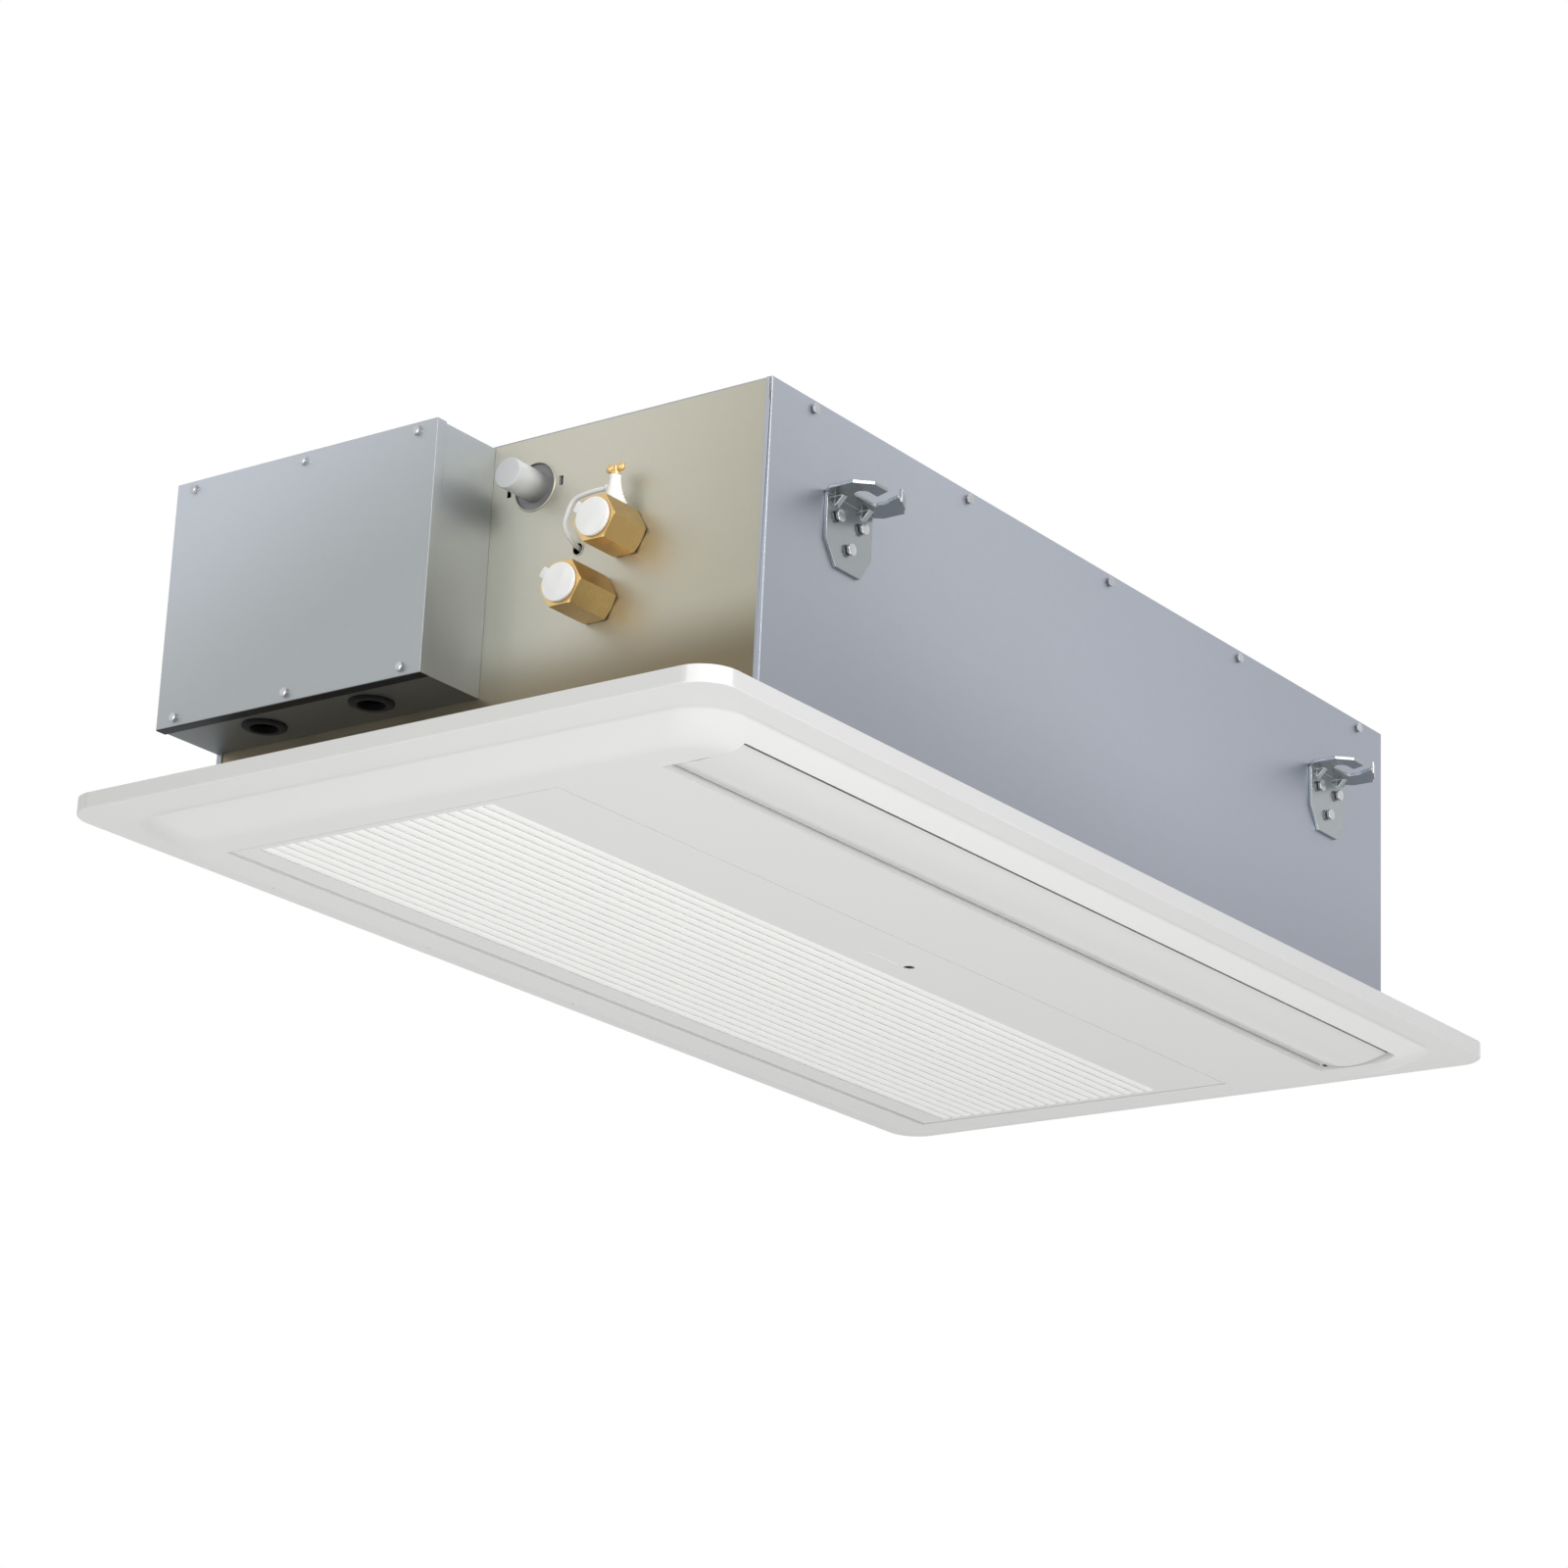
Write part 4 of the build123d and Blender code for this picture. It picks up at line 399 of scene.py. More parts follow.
FILTER_CLOTH = SoftStuff("filter_cloth", (0.16, 0.165, 0.155), 0.8, shine=0.2, texture_scale=2500.0, depth=0.0001)


# Shapes, in millimetres


def in_metres(point: Vector | Point) -> Vector:
    """A point's place in metres; plain numbers are scaled before they are rounded."""
    return point * MM if isinstance(point, Vector) else Vector([part * MM for part in point])


def circle(middle: Vector, along: Vector, across: Vector, radius: float, sides: int) -> list[Vector]:
    """Points round a middle, of which the first lies in the direction across."""
    side = along.cross(across)
    turns = [2 * math.pi * index / sides for index in range(sides)]
    return [middle + across * (radius * math.cos(turn)) + side * (radius * math.sin(turn)) for turn in turns]


class Form:
    """Collects closed shapes for one mesh."""

    def __init__(self) -> None:
        """Start empty."""
        self.points: list[Vector | Point] = []
        self.faces: list[tuple[int, ...]] = []

    def skin(self, rings: Sequence[Sequence[Vector | Point]], closed: bool = False) -> "Form":
        """Join rings of equally many points, with the ends capped or joined.

        Args:
            rings: Rings of points; a ring may be one point, as at a pole.
            closed: Whether the last ring joins the first.

        Returns:
            The form.
        """
        starts = []
        for ring in rings:
            starts.append((len(self.points), len(ring)))
            self.points.extend(ring)
        pairs = list(zip(starts, starts[1:]))
        if closed:
            pairs.append((starts[-1], starts[0]))
        for (low, low_count), (high, high_count) in pairs:
            count = max(low_count, high_count)
            for index in range(count):
                after = (index + 1) % count
                corners = (low + index % low_count, low + after % low_count,
                           high + after % high_count, high + index % high_count)
                self.faces.append(tuple(dict.fromkeys(corners)))
        if not closed:
            for start, count in (starts[0], starts[-1]):
                if count > 2:
                    self.faces.append(tuple(range(start, start + count)))
        return self

    def lathe(self, base: Point | Vector, axis: Point | Vector, profile: Profile, sides: int = ROUND,
              closed: bool = False) -> "Form":
        """Turn a profile round an axis.

        Args:
            base: The axis's starting point.
            axis: The direction of the axis.
            profile: Points of (radius, distance along the axis).
            sides: How many flats the turned shape has.
            closed: Whether the profile's ends are joined, for a hollow ring.

        Returns:
            The form.
        """
        along = Vector(axis).normalized()
        across = along.orthogonal().normalized()
        rings = []
        for radius, reach in profile:
            middle = Vector(base) + along * reach
            rings.append([middle] if radius < POLE else circle(middle, along, across, radius, sides))
        return self.skin(rings, closed)

    def box(self, low: Point, high: Point) -> "Form":
        """A box between two corners."""
        (x0, y0, z0), (x1, y1, z1) = low, high
        return self.skin([[(x0, y0, z), (x1, y0, z), (x1, y1, z), (x0, y1, z)] for z in (z0, z1)])

    def prism_x(self, outline: Profile, x0: float, x1: float) -> "Form":
        """A closed (y, z) outline, extruded along X."""
        return self.skin([[(x, y, z) for y, z in outline] for x in (x0, x1)])

    def tube(self, path: Sequence[Vector], radius: float, sides: int) -> "Form":
        """A round tube along a path."""
        across = (path[1] - path[0]).orthogonal().normalized()
        rings = []
        for before, point, after in zip([path[0], *path], path, [*path[1:], path[-1]]):
            along = (after - before).normalized()
            across = (across - along * across.dot(along)).normalized()
            rings.append(circle(point, along, across, radius, sides))
        return self.skin(rings)

    def mesh(self, name: str) -> Mesh:
        """Turn the collected shapes into a mesh, in metres, whose faces point outwards."""
        made = bpy.data.meshes.new(name)
        made.from_pydata([in_metres(point) for point in self.points], [], self.faces)
        work = bmesh.new()
        work.from_mesh(made)
        bmesh.ops.recalc_face_normals(work, faces=work.faces)
        work.to_mesh(made)
        work.free()
        return made


def turned(name: str, base: Point, axis: Point, profile: Profile, sides: int = ROUND, closed: bool = False) -> Mesh:
    """The mesh of one turned shape."""
    return Form().lathe(base, axis, profile, sides, closed).mesh(name)


def block(name: str, low: Point, high: Point) -> Mesh:
    """The mesh of one box."""
    return Form().box(low, high).mesh(name)


def disc(radius: float, length: float) -> Profile:
    """The profile of a plain disc or bar."""
    return [(0, 0), (radius, 0), (radius, length), (0, length)]


def pipe(inner: float, outer: float, length: float) -> Profile:
    """The closed profile of a plain pipe."""
    return [(inner, 0), (outer, 0), (outer, length), (inner, length)]


def rounded(radius: float, length: float, edge: float, steps: int = 4) -> Profile:
    """The profile of a disc or bar with rims that are rounded by an edge radius."""
    turns = [math.pi / 2 * step / steps for step in range(steps + 1)]
    low = [(radius - edge + edge * math.sin(turn), edge - edge * math.cos(turn)) for turn in turns]
    high = [(reach, length - place) for reach, place in reversed(low)]
    return [(0.0, 0.0), *low, *high, (0.0, length)]


def eased(corners: Sequence[Point]) -> list[Vector]:
    """A path whose corners are rounded."""
    points = [Vector(corner) for corner in corners]
    path = [points[0]]
    for before, here, after in zip(points, points[1:], points[2:]):
        reach = EASE_SHARE * min((here - before).length, (after - here).length)
        start = here + (before - here).normalized() * reach
        end = here + (after - here).normalized() * reach
        for step in range(EASE_STEPS + 1):
            place = step / EASE_STEPS
            path.append(start * (1 - place) ** 2 + here * (2 * place * (1 - place)) + end * place ** 2)
    return [*path, points[-1]]


def settle(mesh: Mesh, kind: str, settings: dict[str, Any], inputs: dict[str, Any] | None = None) -> Mesh:
    """Run a modifier on a mesh and keep the plain result.

    Args:
        mesh: The mesh to work on.
        kind: The modifier's type.
        settings: Its settings.
        inputs: Its inputs, by socket identifier.

    Returns:
        A new mesh.
    """
    holder = bpy.data.objects.new(mesh.name, mesh)
    bpy.context.scene.collection.objects.link(holder)
    modifier = holder.modifiers.new(kind.title(), kind)
    for name, value in settings.items():
        setattr(modifier, name, value)
    for identifier, value in (inputs or {}).items():
        modifier[identifier] = value
    made = bpy.data.meshes.new_from_object(holder.evaluated_get(bpy.context.evaluated_depsgraph_get()))
    holder.modifiers.clear()
    bpy.data.objects.remove(holder)
    return made


def combine(base: Mesh, tool: Mesh, cut: Cut) -> Mesh:
    """Combine two closed meshes."""
    other = bpy.data.objects.new("tool", tool)
    bpy.context.scene.collection.objects.link(other)
    made = settle(base, "BOOLEAN", {"operation": cut.value, "object": other, "solver": "EXACT"})
    bpy.data.objects.remove(other)
    return made


def join(*meshes: Mesh) -> Mesh:
    """Put several meshes into one."""
    work = bmesh.new()
    for mesh in meshes:
        work.from_mesh(mesh)
    made = bpy.data.meshes.new(meshes[0].name)
    work.to_mesh(made)
    work.free()
    return made


def smooth(mesh: Mesh) -> Mesh:
    """Shade a mesh smooth, with sharp edges where it turns."""
    mesh.shade_smooth()
    mesh.set_sharp_from_angle(angle=SMOOTH_ANGLE)
    return mesh


def flat_faced(mesh: Mesh) -> Mesh:
    """Shade a mesh smooth, with its large faces kept flat."""
    return settle(smooth(mesh), "WEIGHTED_NORMAL", {"keep_sharp": True, "weight": 100})


def ease_edges(mesh: Mesh, width: float, segments: int = 2) -> Mesh:
    """Round the sharp edges of a mesh a little."""
    return smooth(settle(mesh, "BEVEL", {"width": width * MM, "segments": segments, "limit_method": "ANGLE",
                                         "angle_limit": SMOOTH_ANGLE, "use_clamp_overlap": True}))


def pull(mesh: Mesh, axis: int, old: float, new: float) -> Mesh:
    """Move the points of a mesh that lie on one plane."""
    for vertex in mesh.vertices:
        if abs(vertex.co[axis] - old * MM) < ON_PLANE:
            vertex.co[axis] = new * MM
    return mesh


def fold(mesh: Mesh, x: float, y: float, radius: float) -> Mesh:
    """Round the upright edges that stand at x and y from the middle planes, on any side."""
    work = bmesh.new()
    work.from_mesh(mesh)
    edges = [edge for edge in work.edges
             if all(abs(abs(v.co.x) - x * MM) < ON_PLANE and abs(abs(v.co.y) - y * MM) < ON_PLANE
                    for v in edge.verts)]
    bmesh.ops.bevel(work, geom=edges, offset=radius * MM, segments=4, profile=0.5, affect="EDGES", clamp_overlap=True)
    work.to_mesh(mesh)
    work.free()
    return mesh


def merged(node: str) -> bmesh.types.BMesh:
    """A CAD node's mesh, with its points merged."""
    work = bmesh.new()
    work.from_mesh(frame["nodes"][node].data)
    bmesh.ops.remove_doubles(work, verts=work.verts, dist=MERGE)
    return work


def node_mesh(node: str) -> Mesh:
    """A copy of a CAD node's mesh, with its flat faces whole."""
    work = merged(node)
    bmesh.ops.dissolve_limit(work, angle_limit=FLAT_ANGLE, verts=work.verts, edges=work.edges)
    made = bpy.data.meshes.new(node)
    work.to_mesh(made)
    work.free()
    return made


def loose_boxes(node: str) -> list[tuple[Vector, Vector]]:
    """The lowest and highest corner of each loose part of a CAD node."""
    work = merged(node)
    left = set(work.verts)
    boxes = []
    for first in work.verts:
        if first not in left:
            continue
        left.remove(first)
        group = [first]
        for vertex in group:
            around = {edge.other_vert(vertex) for edge in vertex.link_edges} & left
            left -= around
            group.extend(around)
        sides = list(zip(*(vertex.co / MM for vertex in group)))
        boxes.append((Vector([min(side) for side in sides]), Vector([max(side) for side in sides])))
    work.free()
    return boxes


# Repeats, as Geometry Nodes trees with named inputs

SOCKET_TYPES = {int: "NodeSocketInt", float: "NodeSocketFloat", tuple: "NodeSocketVector",
                bpy.types.Material: "NodeSocketMaterial"}


class Pattern(Graph):
    """A Geometry Nodes tree that repeats a shape, with named inputs."""

    def __init__(self, name: str, sizes: dict[str, Any], finish: Finish) -> None:
        """Make the tree with its named inputs and their values, and the finish of the result."""
        super().__init__(bpy.data.node_groups.new(name, "GeometryNodeTree"))
        self.values = {**sizes, "Finish": material_of(finish)}
        face = self.tree.interface
        for way in ("INPUT", "OUTPUT"):
            face.new_socket("Geometry", in_out=way, socket_type="NodeSocketGeometry")
        self.identifiers = {key: face.new_socket(key, in_out="INPUT", socket_type=self.kind(value)).identifier
                            for key, value in self.values.items()}
        self.entry = self.tree.nodes.new("NodeGroupInput")

    @staticmethod
    def kind(value: Any) -> str:
        """The type of socket that holds a value."""
        return next(kind for held, kind in SOCKET_TYPES.items() if isinstance(value, held))

    def given(self, name: str) -> Socket:
        """One of the tree's inputs."""
        return Socket(self, self.find(self.entry.outputs, self.identifiers.get(name, name)))

    def stand(self, points: Socket, instance: Socket, **more: Socket) -> None:
        """Stand a shape on points, realise it, set its material and end the tree."""
        instances = self.node("GeometryNodeInstanceOnPoints", None, {"Points": points, "Instance": instance, **more})
        real = self.node("GeometryNodeRealizeInstances", None, {0: instances})
        painted = self.node("GeometryNodeSetMaterial", None, {0: real, "Material": self.given("Finish")})
        end = self.tree.nodes.new("NodeGroupOutput")
        self.tree.links.new(painted.socket, end.inputs[0])

    def run(self, mesh: Mesh) -> Mesh:
        """Run the tree on a mesh."""
        inputs = {self.identifiers[name]: value for name, value in self.values.items()}
        return settle(mesh, "NODES", {"node_group": self.tree}, inputs)


def in_line(mesh: Mesh, count: int, step: Point, finish: Finish) -> Mesh:
    """Repeat a mesh along a line.

    Args:
        mesh: The first one, in its place.
        count: How many there are.
        step: The distance from one to the next.
        finish: Their finish.

    Returns:
        All of them as one mesh.
    """
    pattern = Pattern("line_of_" + mesh.name, {"Count": count, "Step": tuple(part * MM for part in step)}, finish)
    line = pattern.node("GeometryNodeMeshLine", None,
                        {"Count": pattern.given("Count"), "Offset": pattern.given("Step")})
    pattern.stand(line, pattern.given("Geometry"))
    return pattern.run(mesh)


def in_ring(mesh: Mesh, count: int, axis: Point, centre: Point, finish: Finish) -> Mesh:
    """Repeat a mesh round an axis through the origin, and then move it.

    Args:
        mesh: The first one, placed round the origin.
        count: How many there are.
        axis: The axis they stand round.
        centre: Where the axis goes in the end.
        finish: Their finish.

    Returns:
        All of them as one mesh.
    """
    pattern = Pattern("ring_of_" + mesh.name, {"Count": count, "Axis": axis, "Turn": 2 * math.pi / count}, finish)
    line = pattern.node("GeometryNodeMeshLine", None, {"Count": pattern.given("Count"), "Offset": (0, 0, 0)})
    angle = pattern.node("GeometryNodeInputIndex") * pattern.given("Turn")
    turn = pattern.node("FunctionNodeAxisAngleToRotation", None, {"Axis": pattern.given("Axis"), "Angle": angle})
    pattern.stand(line, pattern.given("Geometry"), Rotation=turn)
    made = pattern.run(mesh)
    made.transform(Matrix.Translation(Vector(centre) * MM))
    return made


# Assemblies


@dataclass
class Assembly:
    """Pieces that are made together; each stands for a CAD node and rides on its body."""

    def build(self) -> None:
        """Make the pieces."""
        raise NotImplementedError

    @staticmethod
    def add(node: str, finish: Finish, *meshes: Mesh, shading: Callable[[Mesh], Mesh] = smooth) -> None:
        """Put a piece in the place of a CAD node.

        Args:
            node: The CAD node.
            finish: The piece's finish.
            meshes: Its mesh, or several that become one.
            shading: How its faces are shaded.
        """
        mesh = shading(join(*meshes))
        mesh.materials.clear()
        mesh.materials.append(material_of(finish))
        piece = bpy.data.objects.new(node + "_look", mesh)
        bpy.context.scene.collection.objects.link(piece)
        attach(piece, frame["nodes"][node]["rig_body"])
        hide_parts(node)
        log.info("%s: %d faces", piece.name, len(mesh.polygons))

    def soften(self, node: str, finish: Finish, width: float, *extra: Mesh, base: Mesh | None = None) -> None:
        """Put a copy of a CAD node with eased edges in its place.

        Args:
            node: The CAD node.
            finish: Its finish.
            width: The width of the eased edges.
            extra: Meshes that join it.
            base: The node's mesh, if it was changed first.
        """
        self.add(node, finish, ease_edges(base or node_mesh(node), width), *extra, shading=flat_faced)


@dataclass
class PlainPieces(Assembly):
    """The pieces that are their CAD nodes with eased edges."""

    widths: tuple[tuple[Finish, float, str], ...] = (
        (DUCT_FOAM, 0.5, "fascia_seal"),
        (DUCT_FOAM, 0.8, "duct_insulation"),
        (GRILLE_WHITE, 0.4, "filter_frame"),
        (GRILLE_WHITE, 0.2, "door_catches"),
        (CASING_STEEL, 0.3, "casing_top_panel casing_base_plate partition_plate"),
        (END_STEEL, 0.3, "end_panel_blind"),
        (BRACKET_STEEL, 0.55, "hanger_bracket_1 hanger_bracket_2 hanger_bracket_3 hanger_bracket_4"),
        (BRACKET_STEEL, 0.3, "coil_end_plates"),
        (BRACKET_STEEL, 0.4, "motor_bracket"),
        (BOX_STEEL, 0.9, "control_box_cover"),
        (PAN_PLASTIC, 0.6, "drain_pan"),
    )

    def build(self) -> None:
        """Make the pieces."""
        for finish, width, nodes in self.widths:
            for node in nodes.split():
                self.soften(node, finish, width)


@dataclass
class DrivenScrews(Assembly):
    """Hexagon washer-head screws at the places of a CAD node's screws, each turned by chance."""

    node: str
    axis: Point
    seed: int = 5
    across_flats: float = 7.0
    head: float = 3.0

    def build(self) -> None:
        """Make the screws."""
        into = Vector(self.axis)
        spots = Form()
        for low, high in loose_boxes(self.node):
            reach = abs((high - low).dot(into))
            spots.points.append((low + high) / 2 - into * (reach / 2))
        flat = self.across_flats / 2
        sizes = {"Corner Radius": flat / math.cos(math.pi / 6), "Head": self.head, "Washer Radius": flat * 1.08,
                 "Washer": self.head * 0.22, "Shank Radius": flat * 0.55, "Shank": reach - self.head}
        values = {**{name: size * MM for name, size in sizes.items()}, "Into": self.axis, "Seed": self.seed}
        pattern = Pattern("screws_" + self.node, values, SCREW_STEEL)
        head, corner = pattern.given("Head"), pattern.given("Corner Radius")
        washer, shank = pattern.given("Washer"), pattern.given("Shank")
        crown = {"Vertices": 24, "Radius Top": corner * 0.84, "Radius Bottom": corner * 0.72, "Depth": head * 0.12}
        group = pattern.tree.nodes.new("GeometryNodeJoinGeometry")
        for part in (self.cylinder(pattern, 6, corner, head * 0.9, 0.0),
                     self.cylinder(pattern, 24, pattern.given("Washer Radius"), washer, head - washer),
                     self.cylinder(pattern, 12, pattern.given("Shank Radius"), shank, head),
                     self.sunk(pattern, pattern.node("GeometryNodeMeshCone", None, crown), head * -0.11)):
            pattern.tree.links.new(part.socket, group.inputs[0])
        rotation = pattern.node("FunctionNodeAlignRotationToVector", {"axis": "Z"}, {"Vector": pattern.given("Into")})
        twist = pattern.node("FunctionNodeRandomValue", {"data_type": "FLOAT"},
                             {"Max_001": math.pi / 3, "Seed": pattern.given("Seed")}, "Value_001")
        spin = pattern.node("FunctionNodeAxisAngleToRotation", None, {"Axis": Z, "Angle": twist})
        placed = pattern.node("FunctionNodeRotateRotation", {"rotation_space": "LOCAL"},
                              {"Rotation": rotation, "Rotate By": spin})
        pattern.stand(pattern.given("Geometry"), Socket(pattern, group.outputs[0]), Rotation=placed)
        self.add(self.node, SCREW_STEEL, pattern.run(spots.mesh(self.node)))

    @staticmethod
    def sunk(pattern: Pattern, shape: Socket, depth: Any) -> Socket:
        """Move a shape into the screw."""
        place = pattern.node("ShaderNodeCombineXYZ", None, {2: depth})
        return pattern.node("GeometryNodeTransform", None, {0: shape, "Translation": place})

    def cylinder(self, pattern: Pattern, sides: int, radius: Socket, depth: Socket, start: Any) -> Socket:
        """A cylinder whose near end is a distance into the screw."""
        bar = pattern.node("GeometryNodeMeshCylinder", None, {"Vertices": sides, "Radius": radius, "Depth": depth})
        return self.sunk(pattern, bar, depth * 0.5 + start)


@dataclass
class SideScrews(Assembly):
    """Screws that go in from both long sides of one CAD node."""

    node: str
    across_flats: float
    head: float

    def build(self) -> None:
        """Make both rows as one piece."""
        flat, head = self.across_flats / 2, self.head
        hexagon = [(0, 0.04 * head), (flat * 0.8, 0.02 * head), (flat * 0.97, 0.12 * head), (flat * 1.1, 0.2 * head),
                   (flat * 1.12, 0.78 * head), (0, 0.78 * head)]
        form = Form()
        for low, high in loose_boxes(self.node):
            middle = (low + high) / 2
            axis, start = (NEAR, high.y) if middle.y > 0 else (Y, low.y)
            base = (middle.x, start, middle.z)
            form.lathe(base, axis, hexagon, 6)
            form.lathe(base, axis, rounded(flat * 1.22, head * 0.24, head * 0.1), 28)
            shank = disc(flat * 0.55, high.y - low.y - head)
            form.lathe(Vector(base) + Vector(axis) * head, axis, shank, 12)
        self.add(self.node, SCREW_STEEL, form.mesh(self.node))


@dataclass
class Fascia(Assembly):
    """The dished fascia: rim, border, slope, floor, walls round its openings and the deck."""

    half: Pair = (600.0, 330.0)
    border: Pair = (38.0, 28.0)
    slope: Pair = (36.0, 35.0)
    corner: float = 40.0
    tip: float = 30.0
    rim_top: float = 32.0
    rim_round: float = 1.6
    drop: float = 18.0
    crease: float = 0.7
    skin: float = 3.0
    wall: float = 3.0
    edge: float = 0.8
    door: Point = (498.4, -105.4, 241.4)
    outlet: Point = (498.0, -284.0, -206.0)
    intake: Point = (438.0, -5.0, 224.0)
    throat: Point = (455.0, -267.0, -212.0)
    deck: Pair = (27.0, 29.0)
    deck_reach: float = 280.0
    above: Pair = (20.0, 40.0)
    ribs: int = 5
    rib: tuple[Point, Point] = ((-1.0, 244.4, 2.0), (1.0, 280.0, 8.0))
    corner_steps: int = 14
    rim_steps: int = 4
    slope_steps: int = 12

    def ring(self, inset_x: float, inset_y: float, corner: float, z: float) -> list[Vector]:
        """A rounded rectangle at a height, inset from the outline."""
        points = []
        for quarter, (right, top) in enumerate(((1, 1), (-1, 1), (-1, -1), (1, -1))):
            middle = Vector((right * (self.half[0] - inset_x - corner), top * (self.half[1] - inset_y - corner), z))
            for step in range(self.corner_steps + 1):
                turn = math.pi / 2 * (quarter + step / self.corner_steps)
                points.append(middle + Vector((math.cos(turn), math.sin(turn), 0)) * corner)
        return points

    def solid(self, grow: float) -> Mesh:
        """The fascia as a solid, its skin moved inwards by grow."""
        rings = [self.ring(grow, grow, self.tip - grow, self.rim_top + grow)]
        for step in range(self.rim_steps + 1):
            turn = math.pi / 2 * step / self.rim_steps
            inset = grow + self.rim_round * (1 - math.cos(turn))
            low = self.drop + grow + self.rim_round * (1 - math.sin(turn))
            rings.append(self.ring(inset, inset, self.tip - inset, low))
        for step in range(self.slope_steps + 1):
            share = step / self.slope_steps
            soft = (1 + math.cos(math.pi * share)) / 2
            z = self.drop * (soft + self.crease * ((1 - share) ** 2 - soft)) + grow
            insets = [border + slope * share + grow for border, slope in zip(self.border, self.slope)]
            rings.append(self.ring(*insets, self.corner - grow, z))
        return Form().skin(rings).mesh("fascia_solid")

    @staticmethod
    def room(place: Point, grow: float, low: float, high: float) -> Mesh:
        """The box of an opening, grown on its sides."""
        half, near, far = place
        return block("room", (-half - grow, near - grow, low), (half + grow, far + grow, high))

    def build(self) -> None:
        """Make the fascia."""
        floor, top = self.deck
        outer = self.solid(0)
        body = combine(outer.copy(), self.solid(self.skin), Cut.TAKE)
        walls = combine(self.room(self.door, self.wall, -1, top), self.room(self.outlet, self.wall, -1, top), Cut.JOIN)
        body = combine(body, combine(walls, outer, Cut.KEEP), Cut.JOIN)
        deck = (self.outlet[0] + self.wall, -self.deck_reach, self.deck_reach)
        body = combine(body, self.room(deck, 0, floor, top), Cut.JOIN)
        for place, low, high in ((self.door, -2, floor), (self.outlet, -2, floor), (self.intake, *self.above),
                                 (self.throat, *self.above)):
            body = combine(body, self.room(place, 0, low, high), Cut.TAKE)
        pitch = 2 * self.half[0] / (self.ribs + 1)
        rib = block("rib", *((x + pitch - self.half[0], y, z) for x, y, z in self.rib))
        ribs = in_line(rib, self.ribs, (pitch, 0, 0), FASCIA_WHITE)
        self.add("fascia_frame", FASCIA_WHITE, ease_edges(body, self.edge), ribs, shading=flat_faced)


@dataclass
class IntakeDoor(Assembly):
    """The hinged door with its grille, filter and lens."""

    half: float = 490.0
    near: float = -33.0
    far: float = 213.0
    slats: int = 20
    slat_steps: int = 10
    gap: float = 1.5
    low: float = 0.3
    crown: float = 0.9
    bow: float = 2.2
    thick: float = 2.7
    rib: float = 3.0
    rib_overlap: float = 0.2
    ribs: int = 9
    hinge: Pair = (235.5, 4.8)
    roll: Point = (1.6, 4.5, 497.0)
    lens: Pair = (38.0, -62.0)
    dome: Profile = ((0, 0.2), (2.5, 0.3), (4.25, 0.6), (4.9, 1.2), (5, 2.7), (8, 2.7), (8, 6.7), (0, 6.7))
    cloth_half: float = 486.0
    cloth_y: Pair = (-29.0, 209.0)
    cloth_z: float = 10.0
    backing: Pair = (0.03, 0.7)
    thread: float = 0.35
    thread_pitch: float = 4.0

    def grille(self) -> list[Mesh]:
        """Crowned slats and the ribs behind them."""
        pitch = (self.far - self.near) / self.slats
        reach = (pitch - self.gap) / 2
        middle = self.near + pitch / 2
        shares = [2 * step / self.slat_steps - 1 for step in range(self.slat_steps + 1)]
        top = self.low + self.thick
        outline = [(middle + share * reach, self.low + self.crown * abs(share) ** self.bow) for share in shares]
        outline += [(middle + reach, top), (middle - reach, top)]
        slat = Form().prism_x(outline, -self.half, self.half).mesh("slat")
        rib = block("grille_rib", (-self.half, self.near, top - self.rib_overlap),
                    (self.rib - self.half, self.far, top + self.rib))
        step = 2 * (self.half - self.rib / 2) / (self.ribs - 1)
        return [in_line(slat, self.slats, (0, pitch, 0), GRILLE_WHITE),
                in_line(rib, self.ribs, (step, 0, 0), GRILLE_WHITE)]

    def cloth(self) -> list[Mesh]:
        """The filter's woven threads over a thin backing."""
        half, (near, far), z = self.cloth_half, self.cloth_y, self.cloth_z
        thin, pitch = self.thread, self.thread_pitch
        back = block("backing", (-half, near, z + self.backing[0]), (half, far, z + self.backing[1]))
        warp = block("warp", (-half, near, z), (thin - half, far, z + thin))
        weft = block("weft", (-half, near, z), (half, near + thin, z + thin))
        return [back, in_line(warp, int((2 * half - thin) // pitch) + 1, (pitch, 0, 0), FILTER_CLOTH),
                in_line(weft, int((far - near - thin) // pitch) + 1, (0, pitch, 0), FILTER_CLOTH)]

    def build(self) -> None:
        """Make the door and what it carries."""
        inner, outer, reach = self.roll
        roll = turned("roll", (-reach, *self.hinge), X, pipe(inner, outer, 2 * reach), 48, True)
        self.soften("intake_door", FASCIA_WHITE, 0.9, roll)
        self.add("intake_grille", GRILLE_WHITE, *self.grille())
        self.add("filter_mesh", FILTER_CLOTH, *self.cloth())
        self.add("sensor_lens", LENS_BLACK, turned("lens", (*self.lens, self.low), Z, self.dome))
        pins = Form()
        for low, high in loose_boxes("door_hinge_pins"):
            pins.lathe((low.x, *self.hinge), X, rounded(1.5, high.x - low.x, 0.3), 24)
        self.add("door_hinge_pins", SCREW_STEEL, pins.mesh("pins"))


